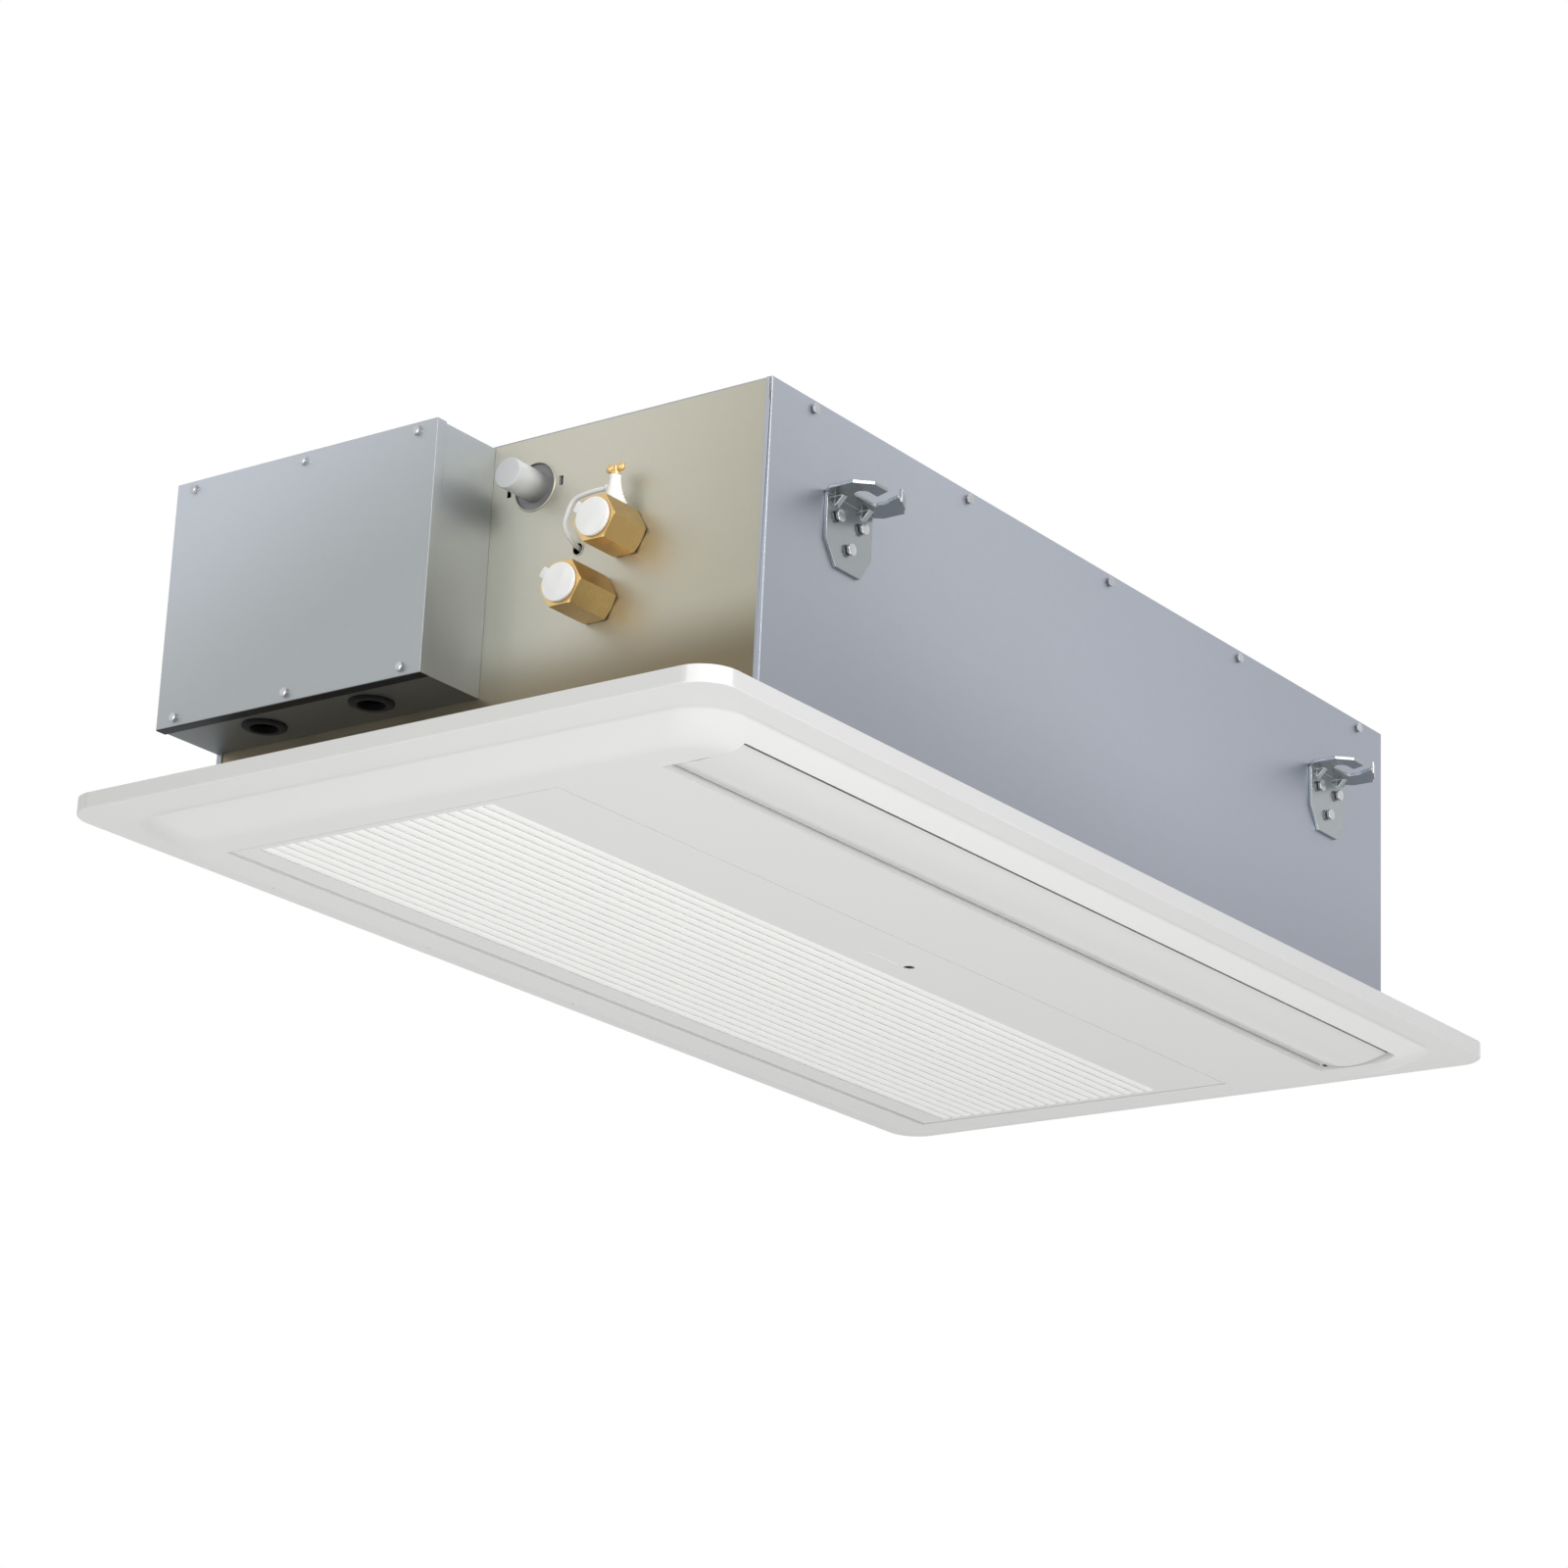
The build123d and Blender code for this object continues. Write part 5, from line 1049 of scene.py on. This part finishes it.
@dataclass
class AirFlap(Assembly):
    """The bowed outlet flap on its barrel, its bushes and its motor."""

    half: float = 495.5
    lip: Pair = (-281.5, 10.0)
    belly: Pair = (-245.0, 0.4)
    root: Pair = (-212.0, 4.5)
    heel: Pair = (-206.8, 5.6)
    skin: float = 2.5
    axis: Pair = (-212.0, 8.0)
    barrel: float = 3.1
    pin: float = 2.2
    reach: float = 501.0
    steps: int = 28
    bush: Pair = (2.25, 4.4)
    motor: Point = (501.3, 11.0, 16.0)
    motor_rise: float = 8.0
    ears: tuple[Point, Point] = ((501.0, -17.0, 4.0), (502.2, 17.0, 12.0))

    def arc(self) -> list[Pair]:
        """The underside's curve through its lip, belly and root, and on to the heel."""
        (ax, ay), (bx, by), (cx, cy) = self.lip, self.belly, self.root
        slope = 2 * (ax * (by - cy) + bx * (cy - ay) + cx * (ay - by))
        a2, b2, c2 = ax * ax + ay * ay, bx * bx + by * by, cx * cx + cy * cy
        mid_x = (a2 * (by - cy) + b2 * (cy - ay) + c2 * (ay - by)) / slope
        mid_y = (a2 * (cx - bx) + b2 * (ax - cx) + c2 * (bx - ax)) / slope
        radius = math.hypot(ax - mid_x, ay - mid_y)
        start = math.atan2(ay - mid_y, ax - mid_x)
        end = math.atan2(cy - mid_y, cx - mid_x)
        turns = [start + (end - start) * step / self.steps for step in range(self.steps + 1)]
        return [*((mid_x + radius * math.cos(turn), mid_y + radius * math.sin(turn)) for turn in turns), self.heel]

    def build(self) -> None:
        """Make the flap and what carries it."""
        under = self.arc()
        over = [(y, z + self.skin) for y, z in reversed(under)]
        blade = Form().prism_x(under + over, -self.half, self.half).mesh("blade")
        y, z = self.axis
        barrel = Form().lathe((-self.half, y, z), X, rounded(self.barrel, 2 * self.half, 0.4), 40)
        barrel.lathe((-self.reach, y, z), X, rounded(self.pin, 2 * self.reach, 0.3), 24)
        self.add("air_flap", FLAP_WHITE, ease_edges(blade, 0.5, 3), barrel.mesh("barrel"), shading=flat_faced)
        bushes = Form()
        for low, high in loose_boxes("flap_bushes"):
            bushes.lathe((low.x, y, z), X, pipe(*self.bush, high.x - low.x), 40, True)
        self.add("flap_bushes", GRILLE_WHITE, bushes.mesh("bushes"))
        start, radius, length = self.motor
        motor = turned("motor", (start, y, z + self.motor_rise), X, rounded(radius, length, 1.0))
        ears = block("ears", *((place, y + aside, z + up) for place, aside, up in self.ears))
        self.add("flap_motor", MOTOR_METAL, motor, ease_edges(ears, 0.3))


@dataclass
class Casing(Assembly):
    """The folded walls of the casing, and the end wall with its holes' rolled lips."""

    corner: Pair = (480.0, 280.0)
    fold: float = 1.8
    face: float = -479.0
    holes: tuple[tuple[float, ...], ...] = ((-46.0, 268.0, 20.0, 0.8), (-94.6, 205.0, 4.75, 0.5))
    lip_steps: int = 12

    def lips(self) -> Mesh:
        """The rolled lips of the round holes in the end wall."""
        form = Form()
        for y, z, radius, roll in self.holes:
            turns = [math.pi * 2 * step / self.lip_steps for step in range(self.lip_steps)]
            profile = [(radius + roll * (0.6 + math.cos(turn)), roll * math.sin(turn) - 0.3) for turn in turns]
            form.lathe((self.face, y, z), X, profile, closed=True)
        return form.mesh("lips")

    def build(self) -> None:
        """Make the walls."""
        for node in ("casing_side_front", "casing_side_rear"):
            self.soften(node, CASING_STEEL, 0.25, base=fold(node_mesh(node), *self.corner, self.fold))
        self.soften("end_panel_connection", END_STEEL, 0.3, self.lips())


@dataclass
class ControlBox(Assembly):
    """The control box on the connection end, with what is inside it."""

    back: Pair = (-480.0, -479.05)
    grommets: tuple[Point, ...] = ((-515.0, 79.0, 96.0), (-515.0, 194.0, 96.0))
    grommet: Profile = ((12, -2.5), (13.2, -2.5), (17.2, -2.3), (18.8, -1.4), (18.8, 0), (16, 0), (16, 1), (18.8, 1),
                        (18.8, 2.6), (17.2, 3.5), (12, 3.5))
    pin: Point = (-492.5, 200.0, 148.0)
    pins: tuple[int, float] = (12, 4.5)
    screw: Point = (-502.9, 25.0, 151.0)
    screws: tuple[int, float] = (8, 10.0)
    can: Point = (-501.0, 60.0, 205.0)
    clip: tuple[Point, Point] = ((-485.0, 48.0, 225.0), (-481.0, 72.0, 245.0))

    def build(self) -> None:
        """Make the box and what is in it."""
        body = "control_box_body"
        self.soften(body, BOX_STEEL, 0.3, base=pull(node_mesh(body), 0, *self.back))
        rings = Form()
        for base in self.grommets:
            rings.lathe(base, Z, self.grommet, closed=True)
        self.add("cable_grommets", BLACK_RUBBER, rings.mesh("grommets"))
        for node, finish, name, base, shape, sides, (count, step) in (
                ("control_board", BOARD_GREEN, "pin", self.pin, (0.6, 3, 0.2), 8, self.pins),
                ("terminal_block", TERMINAL_WHITE, "terminal_screw", self.screw, (3.0, 1.6, 0.4), 20, self.screws)):
            first = turned(name, base, BACK_X, rounded(*shape), sides)
            self.soften(node, finish, 0.3, in_line(first, count, (0, step, 0), finish))
        self.add("motor_capacitor", TERMINAL_WHITE, turned("can", self.can, Z, rounded(17, 72, 1.5)),
                 block("clip", *self.clip))


@dataclass
class Coupling(Assembly):
    """A brass water coupling with its push-in cap."""

    name: str
    y: float
    z: float
    reach: float
    wall: float = -480.0
    end: float = -479.05
    flat: float = 18.0
    shank: Pair = (14.0, 22.0)
    mouth: Pair = (14.0, 6.0)
    bore: Pair = (12.05, 18.0)
    threads: int = 9
    thread_pitch: float = 1.8
    crest: Profile = ((0.2, 0), (-0.45, 0.55), (-0.45, 0.75), (0.2, 1.3))
    plug: Pair = (12.0, 5.0)
    tab_turn: float = 35.0
    tab: Profile = ((12.0, -4.5), (20.5, -4.5), (21.4, -4.1), (21.9, -3.2), (22, 0), (21.9, 3.2), (21.4, 4.1),
                    (20.5, 4.5), (12.0, 4.5))

    def at(self, x: float) -> Point:
        """A point on the coupling's axis."""
        return x, self.y, self.z

    def nut(self) -> Mesh:
        """The hexagon with turned chamfers at both ends, bored and relieved."""
        corner = self.flat / math.cos(math.pi / 6)
        turns = [math.pi / 3 * index for index in range(6)]
        hexagon = [(self.y + corner * math.cos(turn), self.z + corner * math.sin(turn)) for turn in turns]
        bar = Form().prism_x(hexagon, self.wall - self.reach, self.end).mesh("hexagon")
        length = self.reach + self.end - self.wall
        cone = [(0, -0.01), (17.0, -0.01), (corner + 0.4, 2.4), (corner + 0.4, length - 0.9), (19.6, length + 0.01),
                (0, length + 0.01)]
        body = combine(bar, turned("cone", self.at(self.end), BACK_X, cone), Cut.KEEP)
        (wide, mouth), (narrow, depth) = self.mouth, self.bore
        bore = [(0, -1), (wide + 0.6, -1), (wide + 0.6, 0.0), (wide, 0.6), (wide, mouth), (narrow, mouth + 0.8),
                (narrow, mouth + depth), (0, mouth + depth)]
        tool = turned("bore", self.at(self.wall - self.reach), X, bore)
        return ease_edges(combine(body, tool, Cut.TAKE), 0.25)

    def thread(self) -> Mesh:
        """The crests of the thread in the bore."""
        crest = [(self.bore[0] + out, along) for out, along in self.crest]
        ring = turned("crest", self.at(self.wall - self.reach + self.mouth[1] + 1.5), X, crest, 48, True)
        return in_line(ring, self.threads, (self.thread_pitch, 0, 0), BRASS)

    def cap(self) -> list[Mesh]:
        """The cap: a disc with a pull tab and a hollow plug."""
        face = self.wall - self.reach - 0.3
        inner, length = self.plug
        outer = self.mouth[0] - 0.05
        form = Form().lathe(self.at(face), BACK_X, rounded(16, 3, 0.7))
        form.lathe(self.at(face), X, [(inner, 0), (outer, 0), (outer, length - 0.5), (outer - 0.5, length),
                                      (inner, length)], closed=True)
        turn = math.radians(self.tab_turn)
        away = Vector((0, math.cos(turn), math.sin(turn)))
        side = Vector((0, -math.sin(turn), math.cos(turn)))
        rings = [[Vector(self.at(x)) + away * reach + side * wide for reach, wide in self.tab]
                 for x in (face, face - 1.5)]
        return [form.mesh("cap"), ease_edges(Form().skin(rings).mesh("tab"), 0.3)]

    def build(self) -> None:
        """Make the coupling and its cap."""
        rear = turned("shank", self.at(self.wall - 1), X, disc(*self.shank))
        self.add("coupling_" + self.name, BRASS, self.nut(), rear, self.thread(), shading=flat_faced)
        self.add("cap_" + self.name, CAP_WHITE, *self.cap())


@dataclass
class AirVent(Assembly):
    """The air vent on the upper coupling: taped stem, winged screw and bleed tube."""

    x: float = -497.0
    y: float = -143.0
    foot: float = 226.0
    height: float = 25.0
    wide: float = 10.4
    top: float = 4.6
    taper: float = 2.2
    windings: int = 9
    side_z: float = 242.0
    outlet: Profile = ((0, 3), (3.2, 3), (3.2, 7.5), (2.7, 8), (0, 8))
    spindle: Profile = ((0, 0), (2, 0), (2, 17.5), (1.4, 18.2), (0, 18.2))
    wing: Point = (2.4, 3.55, 3.7)
    wing_place: Pair = (5.2, 6.2)
    wing_steps: int = 12
    wing_sides: int = 24
    tube: float = 2.0
    path: tuple[Point, ...] = ((-497, -135, 242), (-497, -119, 242), (-496, -100, 240), (-493, -90, 220),
                               (-485, -93.6, 208), (-471, -94.6, 205))

    def stem(self) -> Mesh:
        """The stem under its wound tape, and the side outlet."""
        profile = [(0.0, -3.0), (4.2, -3.0), (4.2, 0.0)]
        step = self.height / self.windings
        for index in range(self.windings):
            radius = self.top + (self.wide - self.top) * (1 - index / self.windings) ** self.taper
            z = step * index
            profile += [(radius - 0.35, z + 0.02), (radius, z + 0.25 * step), (radius - 0.05, z + 0.85 * step)]
        profile += [(self.top - 0.3, self.height), (2.1, self.height), (2.1, self.height - 11), (0.0, self.height - 11)]
        form = Form().lathe((self.x, self.y, self.foot), Z, profile)
        return form.lathe((self.x, self.y, self.side_z), Y, self.outlet, 32).mesh("stem")

    def screw(self) -> Mesh:
        """The bleed screw: a stem, a collar and two rounded wings."""
        start = self.foot + self.height + 0.3
        form = Form().lathe((self.x, self.y, start), Z, rounded(4, 3, 0.6), 40)
        form.lathe((self.x, self.y, start - 10.3), Z, self.spindle, 32)
        deep, long, high = self.wing
        turns = [2 * math.pi * index / self.wing_sides for index in range(self.wing_sides)]
        for side in (-1, 1):
            middle = Vector((self.x, self.y + side * self.wing_place[0], start + self.wing_place[1]))
            rings = []
            for step in range(1, self.wing_steps):
                place = math.pi * step / self.wing_steps
                size = math.sin(place) ** 0.6
                rings.append([middle + Vector((math.cos(turn) * deep * size, -math.cos(place) * long,
                                               math.sin(turn) * high * size)) for turn in turns])
            form.skin(rings)
        return form.mesh("bleed_screw")

    def build(self) -> None:
        """Make the vent and its tube."""
        self.add("air_vent_body", TAPE_WHITE, self.stem())
        self.add("air_vent_screw", BRASS, self.screw())
        self.add("vent_tube", TUBE_MILKY, Form().tube(eased(self.path), self.tube, 24).mesh("tube"))


@dataclass
class Drainage(Assembly):
    """The condensate spigot, its hose and the lift pump."""

    spigot_base: Point = (-514.0, -46.0, 268.0)
    spigot: Profile = ((0, 0), (11.4, 0), (12.4, 0.3), (13.0, 1.2), (13.0, 36), (26, 36), (26, 39), (7.5, 39),
                       (7.5, 51), (5, 51), (5, 2), (0, 2))
    hose: float = 9.0
    hose_path: tuple[Point, ...] = ((-431, -50, 103), (-431, -50, 158), (-431, -46, 218), (-431, -46, 268),
                                    (-463, -46, 268))
    pump_base: Point = (-431.0, -50.0, 37.0)
    pump: Profile = ((0, 6), (16, 6), (17, 7), (17, 30), (15.5, 31), (15.5, 33), (17, 34), (17, 49), (16, 50),
                     (7.5, 50), (7.5, 66), (0, 66))
    feet: int = 3

    def build(self) -> None:
        """Make the drainage."""
        self.add("discharge_spigot", SPIGOT_GREY, turned("spigot", self.spigot_base, X, self.spigot))
        self.add("pump_hose", BLACK_RUBBER, Form().tube(eased(self.hose_path), self.hose, 32).mesh("hose"))
        foot = turned("foot", (0, 9, 0), Z, rounded(3, 6.5, 0.4), 20)
        self.add("condensate_pump", PAN_PLASTIC, turned("pump", self.pump_base, Z, self.pump),
                 in_ring(foot, self.feet, Z, self.pump_base, PAN_PLASTIC))


@dataclass
class Coil(Assembly):
    """The leaning coil: fins, return bends and headers."""

    middle: Pair = (-139.797, 177.504)
    up: Pair = (-0.45419, 0.89091)
    half: float = 410.0
    reach: float = 114.0
    thick: float = 44.0
    pitch: float = 38.0
    tubes: int = 6
    row: float = 22.0
    tube_r: float = 4.8
    plate: float = 1.5
    header_x: float = -450.0
    header: Pair = (11.0, 14.0)
    feeder: float = 38.0
    fins: int = 400
    fin: float = 0.3
    core: Pair = (2.05, 2.5)
    bend_steps: int = 16

    def at(self, x: float, along: float, across: float) -> Vector:
        """A point of the coil, along its slope and across it."""
        (y, z), (up_y, up_z) = self.middle, self.up
        return Vector((x, y + up_y * along + up_z * across, z + up_z * along - up_y * across))

    def slab(self, x0: float, x1: float, inset: float) -> Mesh:
        """A leaning slab of the coil's outline."""
        reach, wide = self.reach - inset, self.thick / 2 - inset
        corners = ((-reach, -wide), (-reach, wide), (reach, wide), (reach, -wide))
        return Form().skin([[self.at(x, along, across) for along, across in corners] for x in (x0, x1)]).mesh("slab")

    def bend(self, start: Vector, end: Vector, side: int) -> list[Vector]:
        """The half ring of a return bend."""
        middle = (start + end) / 2
        across = (end - start) / 2
        out = Vector((side * across.length, 0, 0))
        turns = [math.pi * step / self.bend_steps for step in range(self.bend_steps + 1)]
        return [middle - across * math.cos(turn) + out * math.sin(turn) for turn in turns]

    def build(self) -> None:
        """Make the coil."""
        step, inset = self.core
        fin = self.slab(-self.half, self.fin - self.half, 0.0)
        fins = in_line(fin, self.fins, ((2 * self.half - self.fin) / (self.fins - 1), 0, 0), FIN_ALUMINIUM)
        self.add("coil_fin_pack", FIN_ALUMINIUM, fins, self.slab(step - self.half, self.half - step, inset))
        rows = [self.pitch * (index + 0.5 - self.tubes / 2) for index in range(self.tubes)]
        x, aside = self.half + self.plate, self.row / 2
        paths = [self.bend(self.at(x, row, -aside), self.at(x, row, aside), 1) for row in rows]
        paths += [self.bend(self.at(-x, low, -aside), self.at(-x, high, -aside), -1)
                  for low, high in zip(rows[0::2], rows[1::2])]
        bends = Form()
        for path in paths:
            bends.tube(path, self.tube_r, 16)
        self.add("coil_return_bends", COPPER, bends.mesh("bends"))
        headers = Form()
        radius, past = self.header
        for group in (rows[:3], rows[3:]):
            length = group[-1] - group[0] + 2 * past
            headers.lathe(self.at(self.header_x, group[0] - past, aside), (0, *self.up), rounded(radius, length, 3), 40)
            for row in group:
                headers.lathe(self.at(-x, row, aside), BACK_X, disc(self.tube_r, self.feeder), 24)
        self.add("coil_headers", COPPER, headers.mesh("headers"))


@dataclass
class Fans(Assembly):
    """Both fan wheels, their shaft, scrolls and motor."""

    y: float = 125.0
    z: float = 178.0
    x: float = 240.0
    radius: float = 62.0
    inner: float = 50.0
    width: float = 110.0
    plate: float = 2.0
    blades: int = 38
    blade_steps: int = 4
    blade_thick: float = 0.9
    sweep: float = 14.0
    curl: float = 1.8
    overlap: float = 0.3
    back_plate: Profile = ((6.03, 0), (61.4, 0), (62, 0.4), (62, 1.6), (61.4, 2), (20, 2), (14, 5), (14, 22),
                           (6.03, 22))
    end_ring: Profile = ((50, 108), (61.5, 108), (62, 108.4), (62, 109.6), (61.5, 110), (50.4, 110))
    step: float = 12.0
    gap: float = 10.0
    wall: float = 2.0
    room: float = 63.0
    mouth_y: float = -10.8
    tongue: float = 130.0
    arc_steps: int = 16
    inlet: float = 50.0
    shaft_hole: float = 24.0
    flange: tuple[float, float, float, float] = (226.2, 292.0, 9.0, 2.0)
    shaft: Pair = (6.0, 422.0)
    motor: Profile = ((6.05, -78), (17, -78), (18, -77), (18, -70), (40, -70), (44, -69), (50.5, -64), (52, -60),
                      (52, -42), (50.5, -41.5), (50.5, 41.5), (52, 42), (52, 60), (50.5, 64), (44, 69), (40, 70),
                      (18, 70), (18, 77), (17, 78), (6.05, 78))
    bell_rib: tuple[Point, Point] = ((-70.5, -1.0, 22.0), (70.5, 1.0, 40.0))
    bell_ribs: int = 12

    def blade(self, side: int) -> Mesh:
        """One forward-curved blade, round the origin."""
        front, back = [], []
        for step in range(self.blade_steps + 1):
            share = step / self.blade_steps
            radius = self.inner + (self.radius - 1 - self.inner) * share
            for points, extra in ((front, 0.0), (back, self.blade_thick)):
                turn = math.radians(self.sweep * share ** self.curl + extra)
                points.append((radius * math.cos(turn), radius * math.sin(turn)))
        reach = self.width / 2 - self.plate + self.overlap
        start, end = side * (self.x - reach), side * (self.x + reach)
        return Form().prism_x(front + back[::-1], start, end).mesh("blade")

    def wheel(self, side: int) -> list[Mesh]:
        """A wheel: blades, back plate with its hub, and end ring."""
        out = X if side > 0 else BACK_X
        base = (side * (self.x - self.width / 2), self.y, self.z)
        form = Form().lathe(base, out, self.back_plate, 80, True).lathe(base, out, self.end_ring, 80, True)
        blades = in_ring(self.blade(side), self.blades, X, (0, self.y, self.z), FAN_PLASTIC)
        return [blades, form.mesh("plates")]

    def outline(self, grow: float) -> list[Pair]:
        """The scroll's outline of four arcs and its mouth."""
        step = self.step
        tight = self.radius + self.gap
        arcs = [((-0.5, 0.5), tight + 3 * step), ((0.5, 0.5), tight + 2 * step), ((0.5, -0.5), tight + step),
                ((-0.5, -0.5), tight)]
        angles = (90, 0, -90, -180, self.tongue - 360)
        points = []
        for index, ((side, high), radius) in enumerate(arcs):
            for part in range(1 if index else 0, self.arc_steps + 1):
                turn = math.radians(angles[index] + (angles[index + 1] - angles[index]) * part / self.arc_steps)
                points.append((self.y + side * step + (radius + grow) * math.cos(turn),
                               self.z + high * step + (radius + grow) * math.sin(turn)))
        low = self.z - step / 2 + tight * math.sin(math.radians(self.tongue)) - grow
        return points + [(points[-1][0] - step, low), (self.mouth_y, low), (self.mouth_y, points[0][1])]

    def scroll(self, side: int) -> list[Mesh]:
        """A scroll housing with its inlet, its shaft hole and its mouth flange."""
        middle, half = side * self.x, self.room + self.wall
        shell = Form().prism_x(self.outline(self.wall), middle - half, middle + half).mesh("shell")
        hollow = [(y - 5 if y <= self.mouth_y + 0.001 else y, z) for y, z in self.outline(0)]
        room = Form().prism_x(hollow, middle - self.room, middle + self.room).mesh("room")
        shell = combine(shell, room, Cut.TAKE)
        for radius, way in ((self.inlet, side), (self.shaft_hole, -side)):
            base = (middle + way * (self.room - 1), self.y, self.z)
            hole = turned("bar", base, X if way > 0 else BACK_X, disc(radius, 6))
            shell = combine(shell, hole, Cut.TAKE)
        low, high, past, over = self.flange
        flange = block("flange", (middle - half - past, self.mouth_y, low - past),
                       (middle + half + past, self.mouth_y + over, high + over))
        hole = block("hole", (middle - self.room, -12, low + 1), (middle + self.room, -7, high))
        return [ease_edges(shell, 0.3), ease_edges(combine(flange, hole, Cut.TAKE), 0.3)]

    def build(self) -> None:
        """Make the fans."""
        for name, side in (("left", -1), ("right", 1)):
            self.add("fan_wheel_" + name, FAN_PLASTIC, *self.wheel(side))
            self.add("scroll_housing_" + name, SCROLL_STEEL, *self.scroll(side))
        radius, length = self.shaft
        shaft = turned("shaft", (-length / 2, self.y, self.z), X, rounded(radius, length, 0.5), 40)
        self.add("fan_shaft", SCREW_STEEL, shaft)
        body = turned("motor", (0, self.y, self.z), X, self.motor, 80, True)
        ribs = in_ring(block("bell_rib", *self.bell_rib), self.bell_ribs, X, (0, self.y, self.z), MOTOR_METAL)
        self.add("fan_motor", MOTOR_METAL, body, ribs)


# Stage


@dataclass
class Lamp:
    """A square soft lamp that faces the unit: its place, side, watts and strength in glossy surfaces."""

    name: str
    place: Point
    size: float
    power: float
    gloss: float = 1.0

    def build(self) -> None:
        """Stand the lamp in its place."""
        data = bpy.data.lights.new(self.name, "AREA")
        data.size = self.size
        data.energy = self.power
        data.specular_factor = self.gloss
        lamp = bpy.data.objects.new(self.name, data)
        turn = (Vector((0, 0, 0.1)) - Vector(self.place)).to_track_quat("-Z", "Y")
        lamp.matrix_world = Matrix.Translation(self.place) @ turn.to_matrix().to_4x4()
        bpy.context.scene.collection.objects.link(lamp)


@dataclass
class Studio:
    """The camera, the floor and the surroundings."""

    eye: Point = (-2.97734, -2.19093, -1.06873)
    forward: Point = (0.75748, 0.57099, 0.31654)
    right: Point = (0.58998, -0.80629, 0.04261)
    lens: float = 101.936
    sensor: float = 36.0
    floor_half: float = 60000.0
    floor_z: Pair = (-4650.0, -4600.0)
    ambient: float = 0.5
    glow: float = 0.36

    def camera(self) -> None:
        """Stand the camera where the photograph was taken."""
        forward = Vector(self.forward).normalized()
        right = (Vector(self.right) - forward * Vector(self.right).dot(forward)).normalized()
        turn = Matrix((right, right.cross(forward), -forward)).transposed()
        data = bpy.data.cameras.new("camera")
        data.lens = self.lens
        data.sensor_width = self.sensor
        data.sensor_fit = "HORIZONTAL"
        data.clip_end = 100.0
        camera = bpy.data.objects.new("camera", data)
        camera.matrix_world = Matrix.Translation(self.eye) @ turn.to_4x4()
        bpy.context.scene.collection.objects.link(camera)
        bpy.context.scene.camera = camera

    def surroundings(self) -> None:
        """A plain white world that lights the unit at a plain level."""
        world = bpy.data.worlds.new("surroundings")
        world.use_nodes = True
        graph = Graph(world.node_tree)
        graph.tree.nodes.clear()
        shown = path = graph.node("ShaderNodeLightPath", output="Is Camera Ray")
        for name in ("Is Glossy Ray", "Is Transmission Ray"):
            shown = shown | Socket(graph, path.socket.node.outputs[name])
        strength = shown * (1 - self.ambient) + self.ambient
        back = graph.node("ShaderNodeBackground", None, {"Color": (1.0, 1.0, 1.0, 1.0), "Strength": strength})
        end = graph.tree.nodes.new("ShaderNodeOutputWorld")
        graph.tree.links.new(back.socket, end.inputs[0])
        bpy.context.scene.world = world

    def floor(self) -> None:
        """A plain pale floor far below."""
        half, (low, high) = self.floor_half, self.floor_z
        mesh = block("floor", (-half, -half, low), (half, half, high))
        paint = Paint("floor", {"Base Color": (0.74, 0.74, 0.74, 1.0), "Roughness": 0.9, "Specular IOR Level": 0.0,
                                "Emission Strength": 1.0})
        seen = paint.node("ShaderNodeLightPath", output="Is Camera Ray")
        mirrored = Socket(paint, seen.socket.node.outputs["Is Glossy Ray"])
        glow = seen * self.glow | mirrored * (self.glow + 0.1)
        paint.drive("Emission Color", paint.node("ShaderNodeCombineColor", None, {0: glow, 1: glow, 2: glow}))
        mesh.materials.append(paint.material)
        floor = bpy.data.objects.new("floor", mesh)
        bpy.context.scene.collection.objects.link(floor)

    def build(self) -> None:
        """Set the stage."""
        self.camera()
        self.surroundings()
        self.floor()
        bpy.context.scene.view_settings.view_transform = "Standard"


def main() -> None:
    """Build the studio and every assembly."""
    logging.basicConfig(level=logging.INFO, format="%(name)s: %(message)s")
    for part in (Studio(), Lamp("front", (-1.4, -3.8, -0.9), 2.6, 46.0), Lamp("end", (-4.2, 0.6, 0.2), 2.2, 24.0, 0.15),
                 Lamp("below", (-1.5, -1.7, -2.7), 1.6, 60.0, 0.6), Lamp("above", (0.6, -1.2, 3.2), 2.4, 22.0, 0.3),
                 Lamp("folds", (-2.3, -3.0, 1.3), 1.2, 50.0), Fascia(), DrivenScrews("fascia_screws", Z), IntakeDoor(),
                 AirFlap(), Casing(), PlainPieces(), SideScrews("casing_screws", 7.0, 3.0),
                 SideScrews("bracket_screws", 8.5, 4.0), ControlBox(), DrivenScrews("control_box_screws", X, 11),
                 Coupling("upper", -143.0, 208.0, 40.0), Coupling("lower", -117.0, 157.0, 45.0), AirVent(),
                 Drainage(), Coil(), Fans()):
        part.build()


if __name__ == "__main__":
    main()
